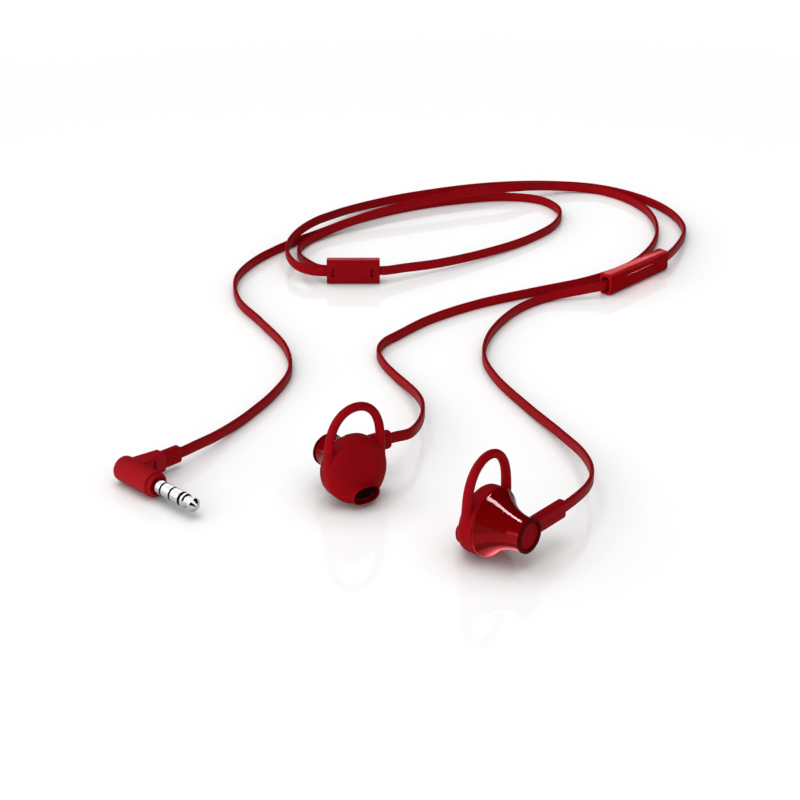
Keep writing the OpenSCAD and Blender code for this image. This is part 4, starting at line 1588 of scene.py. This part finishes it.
RIGHT_UPPER_ROUTE: list[Point3] = [
    (77.5, 172.8, 2.4), (80.7, 187.8, 1.5), (78, 203.8, LIE), (70, 217.1, LIE), (56.5, 227.3, LIE),
    (38.5, 230.7, LIE), (20, 228.6, LIE), (1.5, 222, LIE), (-14.5, 213.3, LIE), (-24.5, 203.8, 2.1),
    (-30.5, 194.3, 3.4), (-35, 185.8, 4.5), (-39.5, 176.3, 4.7), (-42, 166.3, 4.7), (-42, 157.3, 4.5),
    (-39, 149.3, 4.1), (-35, 146, 3.8),
]
RIGHT_LOWER_ROUTE: list[Point3] = [
    (34.2, 0.8, 7.3), (36.4, 11.8, 5.6), (35.5, 24.8, 3.8), (31.5, 38.3, 2.3), (24, 56.3, 1.5),
    (17, 73.8, LIE), (14.3, 86.8, LIE), (15.5, 99.8, LIE), (20, 112.8, LIE), (27, 124.3, LIE),
    (35, 131.1, 1.5), (46.5, 134, 2.8),
]


# The studio

WHITE = (1.0, 1.0, 1.0)
BLUSH = (1.0, 0.72, 0.75)
PALE = (1.0, 0.5, 0.52)
PINK = (1.0, 0.26, 0.28)
RED = (1.0, 0.12, 0.13)
DEEP = (1.0, 0.04, 0.06)


@dataclass
class Studio:
    """The floor, the lights and the camera of the photograph."""

    eye: Point3 = (-8.35, -403.7, 218.0)
    aim: Point3 = (-8.35, 63.8, 0.0)
    lens: float = 90.0
    sensor: float = 36.0
    clip: Point2 = (0.01, 30.0)
    room_glow: float = 0.85
    room_spread: float = 0.8
    room_side: Point3 = (-0.75, -0.35, -0.55)
    floor_side: float = 8.0
    floor_drop: float = 0.00005
    floor_light: float = 1.84
    floor_white: float = 0.97
    floor_bounce: float = 0.5
    floor_lift: float = 0.03
    floor_fade: Point2 = (0.35, 1.3)
    polish_ior: float = 1.35
    polish_roughness: float = 0.04
    # Painted shadow on the floor: how far the ambient occlusion reaches, in metres, and the share of the white
    # that it darkens.
    contact_shade_reach: float = 0.014
    contact_shade_share: float = 0.5
    sheen_far: float = 2600.0
    sheen_tall: float = 2400.0
    sheen_panels: int = 8

    def camera(self) -> None:
        """Sets the camera at the photograph's viewing angle."""
        data = bpy.data.cameras.new("camera")
        data.lens = self.lens
        data.sensor_width = self.sensor
        data.clip_start, data.clip_end = self.clip
        obj = object_from("camera", data)
        eye, aim = Vector(self.eye) * MM, Vector(self.aim) * MM
        obj.location = eye
        obj.rotation_euler = (aim - eye).to_track_quat("-Z", "Y").to_euler()
        bpy.context.scene.camera = obj

    def floor_finish(self) -> bpy.types.Material:
        """Makes the floor's white: duller to other surfaces than to the eye, bright far off, and darkened near
        the objects by painted shadow from ambient occlusion.

        Returns:
            The material.
        """
        mat = bpy.data.materials.new("floor_white")
        mat.use_nodes = True
        mat.node_tree.nodes.clear()
        nodes = Nodes(mat.node_tree)
        rays = nodes.node("ShaderNodeLightPath").outputs
        # Painted shadow: ambient occlusion darkens the floor's white near the objects, on top of the cast
        # shadows.
        contact = nodes.node("ShaderNodeAmbientOcclusion", {"Distance": self.contact_shade_reach}, samples=8)
        level = nodes.math("MULTIPLY_ADD", contact.outputs["AO"], self.floor_white * self.contact_shade_share,
                           self.floor_white * (1 - self.contact_shade_share))
        white = nodes.node("ShaderNodeBsdfDiffuse", {"Color": level})
        dull = nodes.node("ShaderNodeBsdfDiffuse", {"Color": (*[self.floor_bounce] * 3, 1.0)})
        seen = nodes.math("MAXIMUM", rays["Is Camera Ray"], rays["Is Transmission Ray"])
        matt = nodes.node("ShaderNodeMixShader", {
            "Fac": seen, 1: dull.outputs["BSDF"], 2: white.outputs["BSDF"]})
        fresnel = nodes.node("ShaderNodeFresnel", {"IOR": self.polish_ior})
        polish = nodes.node("ShaderNodeBsdfGlossy", {"Roughness": self.polish_roughness})
        top = nodes.node("ShaderNodeMixShader", {
            "Fac": fresnel.outputs["Fac"], 1: matt.outputs["Shader"], 2: polish.outputs["BSDF"]})
        place = nodes.node("ShaderNodeTexCoord")
        reach = nodes.node("ShaderNodeVectorMath", {0: place.outputs["Object"]}, operation="LENGTH")
        near, far = self.floor_fade
        fade = nodes.node("ShaderNodeMapRange", {
            "Value": reach.outputs["Value"], "From Min": near, "From Max": far, "To Min": self.floor_lift},
            interpolation_type="SMOOTHSTEP")
        lift = nodes.math("MULTIPLY", rays["Is Camera Ray"], fade.outputs["Result"])
        glow = nodes.node("ShaderNodeEmission", {"Strength": lift})
        total = nodes.node("ShaderNodeAddShader", {0: top.outputs["Shader"], 1: glow.outputs["Emission"]})
        nodes.node("ShaderNodeOutputMaterial", {"Surface": total.outputs["Shader"]})
        return mat

    def floor(self) -> None:
        """Lays the pale floor: white to the eye, with a faint polish and the object's shadow."""
        s = self.floor_side / 2
        mesh = mesh_from("floor", [(-s, -s, 0), (s, -s, 0), (s, s, 0), (-s, s, 0)], [(0, 1, 2, 3)])
        mesh.transform(Matrix.Translation((0, 0, -self.floor_drop)))
        obj = object_from("floor", mesh)
        mesh.materials.append(self.floor_finish())

    @staticmethod
    def lamp(name: str, eye: Point3, turn: Point3, size: Point2, glow: float, only: Sequence[Obj],
             tint: Point3 = WHITE, shine: bool = True, soft: bool = False) -> None:
        """Hangs one square lamp, which faces down until it is turned.

        Args:
            name: The lamp's name.
            eye: Where it hangs, in millimetres.
            turn: Its turn about X, Y and Z, in degrees.
            size: Its width and height in millimetres.
            glow: How bright its face is, where 1 is white.
            only: The pieces that it lights.
            tint: Its colour.
            shine: Whether it shows in polished surfaces.
            soft: Whether it lights matt surfaces.
        """
        data = bpy.data.lights.new(name, "AREA")
        data.shape = "RECTANGLE"
        data.size, data.size_y = size[0] * MM, size[1] * MM
        data.energy = glow * math.pi * data.size * data.size_y
        data.color = tint
        obj = object_from(name, data)
        obj.location = Vector(eye) * MM
        obj.rotation_euler = [math.radians(a) for a in turn]
        obj.visible_camera = False
        obj.visible_glossy = shine
        obj.visible_diffuse = soft
        group = bpy.data.collections.new(name + "_on")
        for piece in only:
            group.objects.link(piece)
        obj.light_linking.receiver_collection = group

    def sky(self) -> None:
        """Sets the light of the room, strongest from the left, and white behind the floor's edge."""
        world = bpy.data.worlds.new("studio")
        bpy.context.scene.world = world
        world.use_nodes = True
        world.cycles_visibility.glossy = False
        nodes = Nodes(world.node_tree)
        place = nodes.node("ShaderNodeTexCoord")
        rays = nodes.node("ShaderNodeLightPath")
        side = nodes.node("ShaderNodeVectorMath", {0: place.outputs["Generated"], 1: self.room_side},
                          operation="DOT_PRODUCT")
        level = nodes.math("MULTIPLY_ADD", side.outputs["Value"], self.room_spread, self.room_glow)
        seen = nodes.node("ShaderNodeMix", {"Factor": rays.outputs["Is Camera Ray"], "A": level, "B": 1.0})
        nodes.fill(world.node_tree.nodes["Background"], {
            "Color": (1, 1, 1, 1), "Strength": seen.outputs["Result"]})

    def lights(self) -> None:
        """Hangs the wide soft light overhead and the panels that show in the gloss."""
        found = bpy.data.objects
        ground, block = [found["floor"]], [found["splitter_block"]]
        horns = [found["right_horn"], found["left_horn"]]
        button = [found["remote_pill"]]
        remote = [found["remote_front"], found["remote_rear"], *button]
        pin = [found[f"plug_{part}_contact"] for part in ("tip", "sleeve", "rear", "front")]
        lamp, flat = self.lamp, (0, 0, 0)
        lamp("overhead", (-30, 140, 1500), flat, (1600, 1600), self.floor_light, ground, WHITE, False, True)
        lamp("streak", (610, -40, 900), (0, 0, 149), (1950, 230), 110.0, horns, BLUSH)
        lamp("under_card", (13, -15, 0.1), (180, 0, 0), (40, 15.5), 5.5, horns, RED)
        lamp("floor_card", (-55, -64, 0.1), (180, 0, 33), (150, 46), 9.0, horns, DEEP)
        lamp("neck_card", (-800, -350, 150), (0, -90, 0), (300, 900), 20.0, horns, RED)
        lamp("ledge", (190, 760, 330), (-65, 0, 0), (700, 240), 38.0, remote, PINK)
        lamp("block_ledge", (-40, 760, 260), (-65, 0, 0), (700, 300), 5.0, block, PINK)
        lamp("bevel_card", (840, 440, 560), (56, 0, 110.3), (500, 800), 48.0, remote, RED)
        lamp("rim_light", (-400, -150, 160), (0, -70, 20), (260, 260), 8.0, remote, soft=True)
        lamp("pill_glint", (760, -330, 640), (0, 55, 0), (560, 1600), 1800.0, button, PALE)
        lamp("pin_top", (-410, 100, 420), flat, (1200, 1200), 1.0, pin)
        lamp("pin_side", (-640, 50, 250), (0, -90, 0), (500, 1500), 1.0, pin)
        lamp("pin_back", (-60, 700, 260), (-90, 0, 0), (1400, 480), 1.0, pin)
        wide = 2 * self.sheen_far * math.tan(math.pi / self.sheen_panels)
        for k in range(self.sheen_panels):
            turn = 2 * math.pi * k / self.sheen_panels
            eye = (self.sheen_far * math.sin(turn), self.sheen_far * math.cos(turn), self.sheen_tall / 2)
            lamp(f"sheen_{k}", eye, (90, 0, 180 - math.degrees(turn)), (wide, self.sheen_tall), 1.0, ground)

    def build(self) -> None:
        """Sets up the studio around the object."""
        self.floor()
        self.sky()
        self.lights()


def dress_inside() -> None:
    """Gives every CAD node that stays in view or inside its own finish; the front housing takes the liner's
    dark red instead, as painted shade.
    """
    slots = {s["node"]: s["material_slot"] for s in frame["record"]["subparts"]}
    for name, node in frame["nodes"].items():
        # Painted shade: the front housing, seen deep in the mouth, takes the liner's dark red.
        finish = SHADE_LINER if name.endswith("front_housing") else SLOT_FINISH[slots[name]]
        node.data.materials.clear()
        node.data.materials.append(finish.build())
    LOG.info("dressed %d CAD nodes", len(frame["nodes"]))


def main() -> None:
    """Builds the camera, the cables, the pieces and the studio in order."""
    logging.basicConfig(level=logging.INFO, format="%(name)s: %(message)s")
    bpy.context.scene.view_settings.view_transform = "Standard"
    studio = Studio()
    studio.camera()
    ribbons, screens = ribbon_tree(), screen_tree()
    right, left = Earpiece(Side.RIGHT, RIGHT_PLACE), Earpiece(Side.LEFT, LEFT_PLACE)
    remote, splitter, plug = Remote(), Splitter(), Plug()
    main_cable = FlatCable("main_flat_cable", "main_cable",
                           [*splitter.lead(1)[::-1], *MAIN_ROUTE, *plug.lead()])
    left_cable = FlatCable("left_flat_cable", "left_cable",
                           [*left.lead(), *LEFT_ROUTE, *splitter.lead(-1, 1)])
    upper_cable = FlatCable("right_upper_flat_cable", "right_upper_cable",
                            [*remote.lead(1), *RIGHT_UPPER_ROUTE, *splitter.lead(-1, -1)])
    lower_cable = FlatCable("right_lower_flat_cable", "right_lower_cable",
                            [*right.lead(), *RIGHT_LOWER_ROUTE, *remote.lead(-1)[::-1]])
    swept = [c.build(ribbons) for c in (main_cable, left_cable, upper_cable, lower_cable)]
    dress_inside()
    right.build(screens)
    left.build(screens)
    remote_pieces, splitter_pieces, plug_pieces = remote.build(), splitter.build(), plug.build()
    main_cable.declare(splitter.outlet(1))
    left_cable.declare(left.outlet())
    upper_cable.declare(remote.outlet(1))
    lower_cable.declare(right.outlet())
    studio.build()


if __name__ == "__main__":
    main()
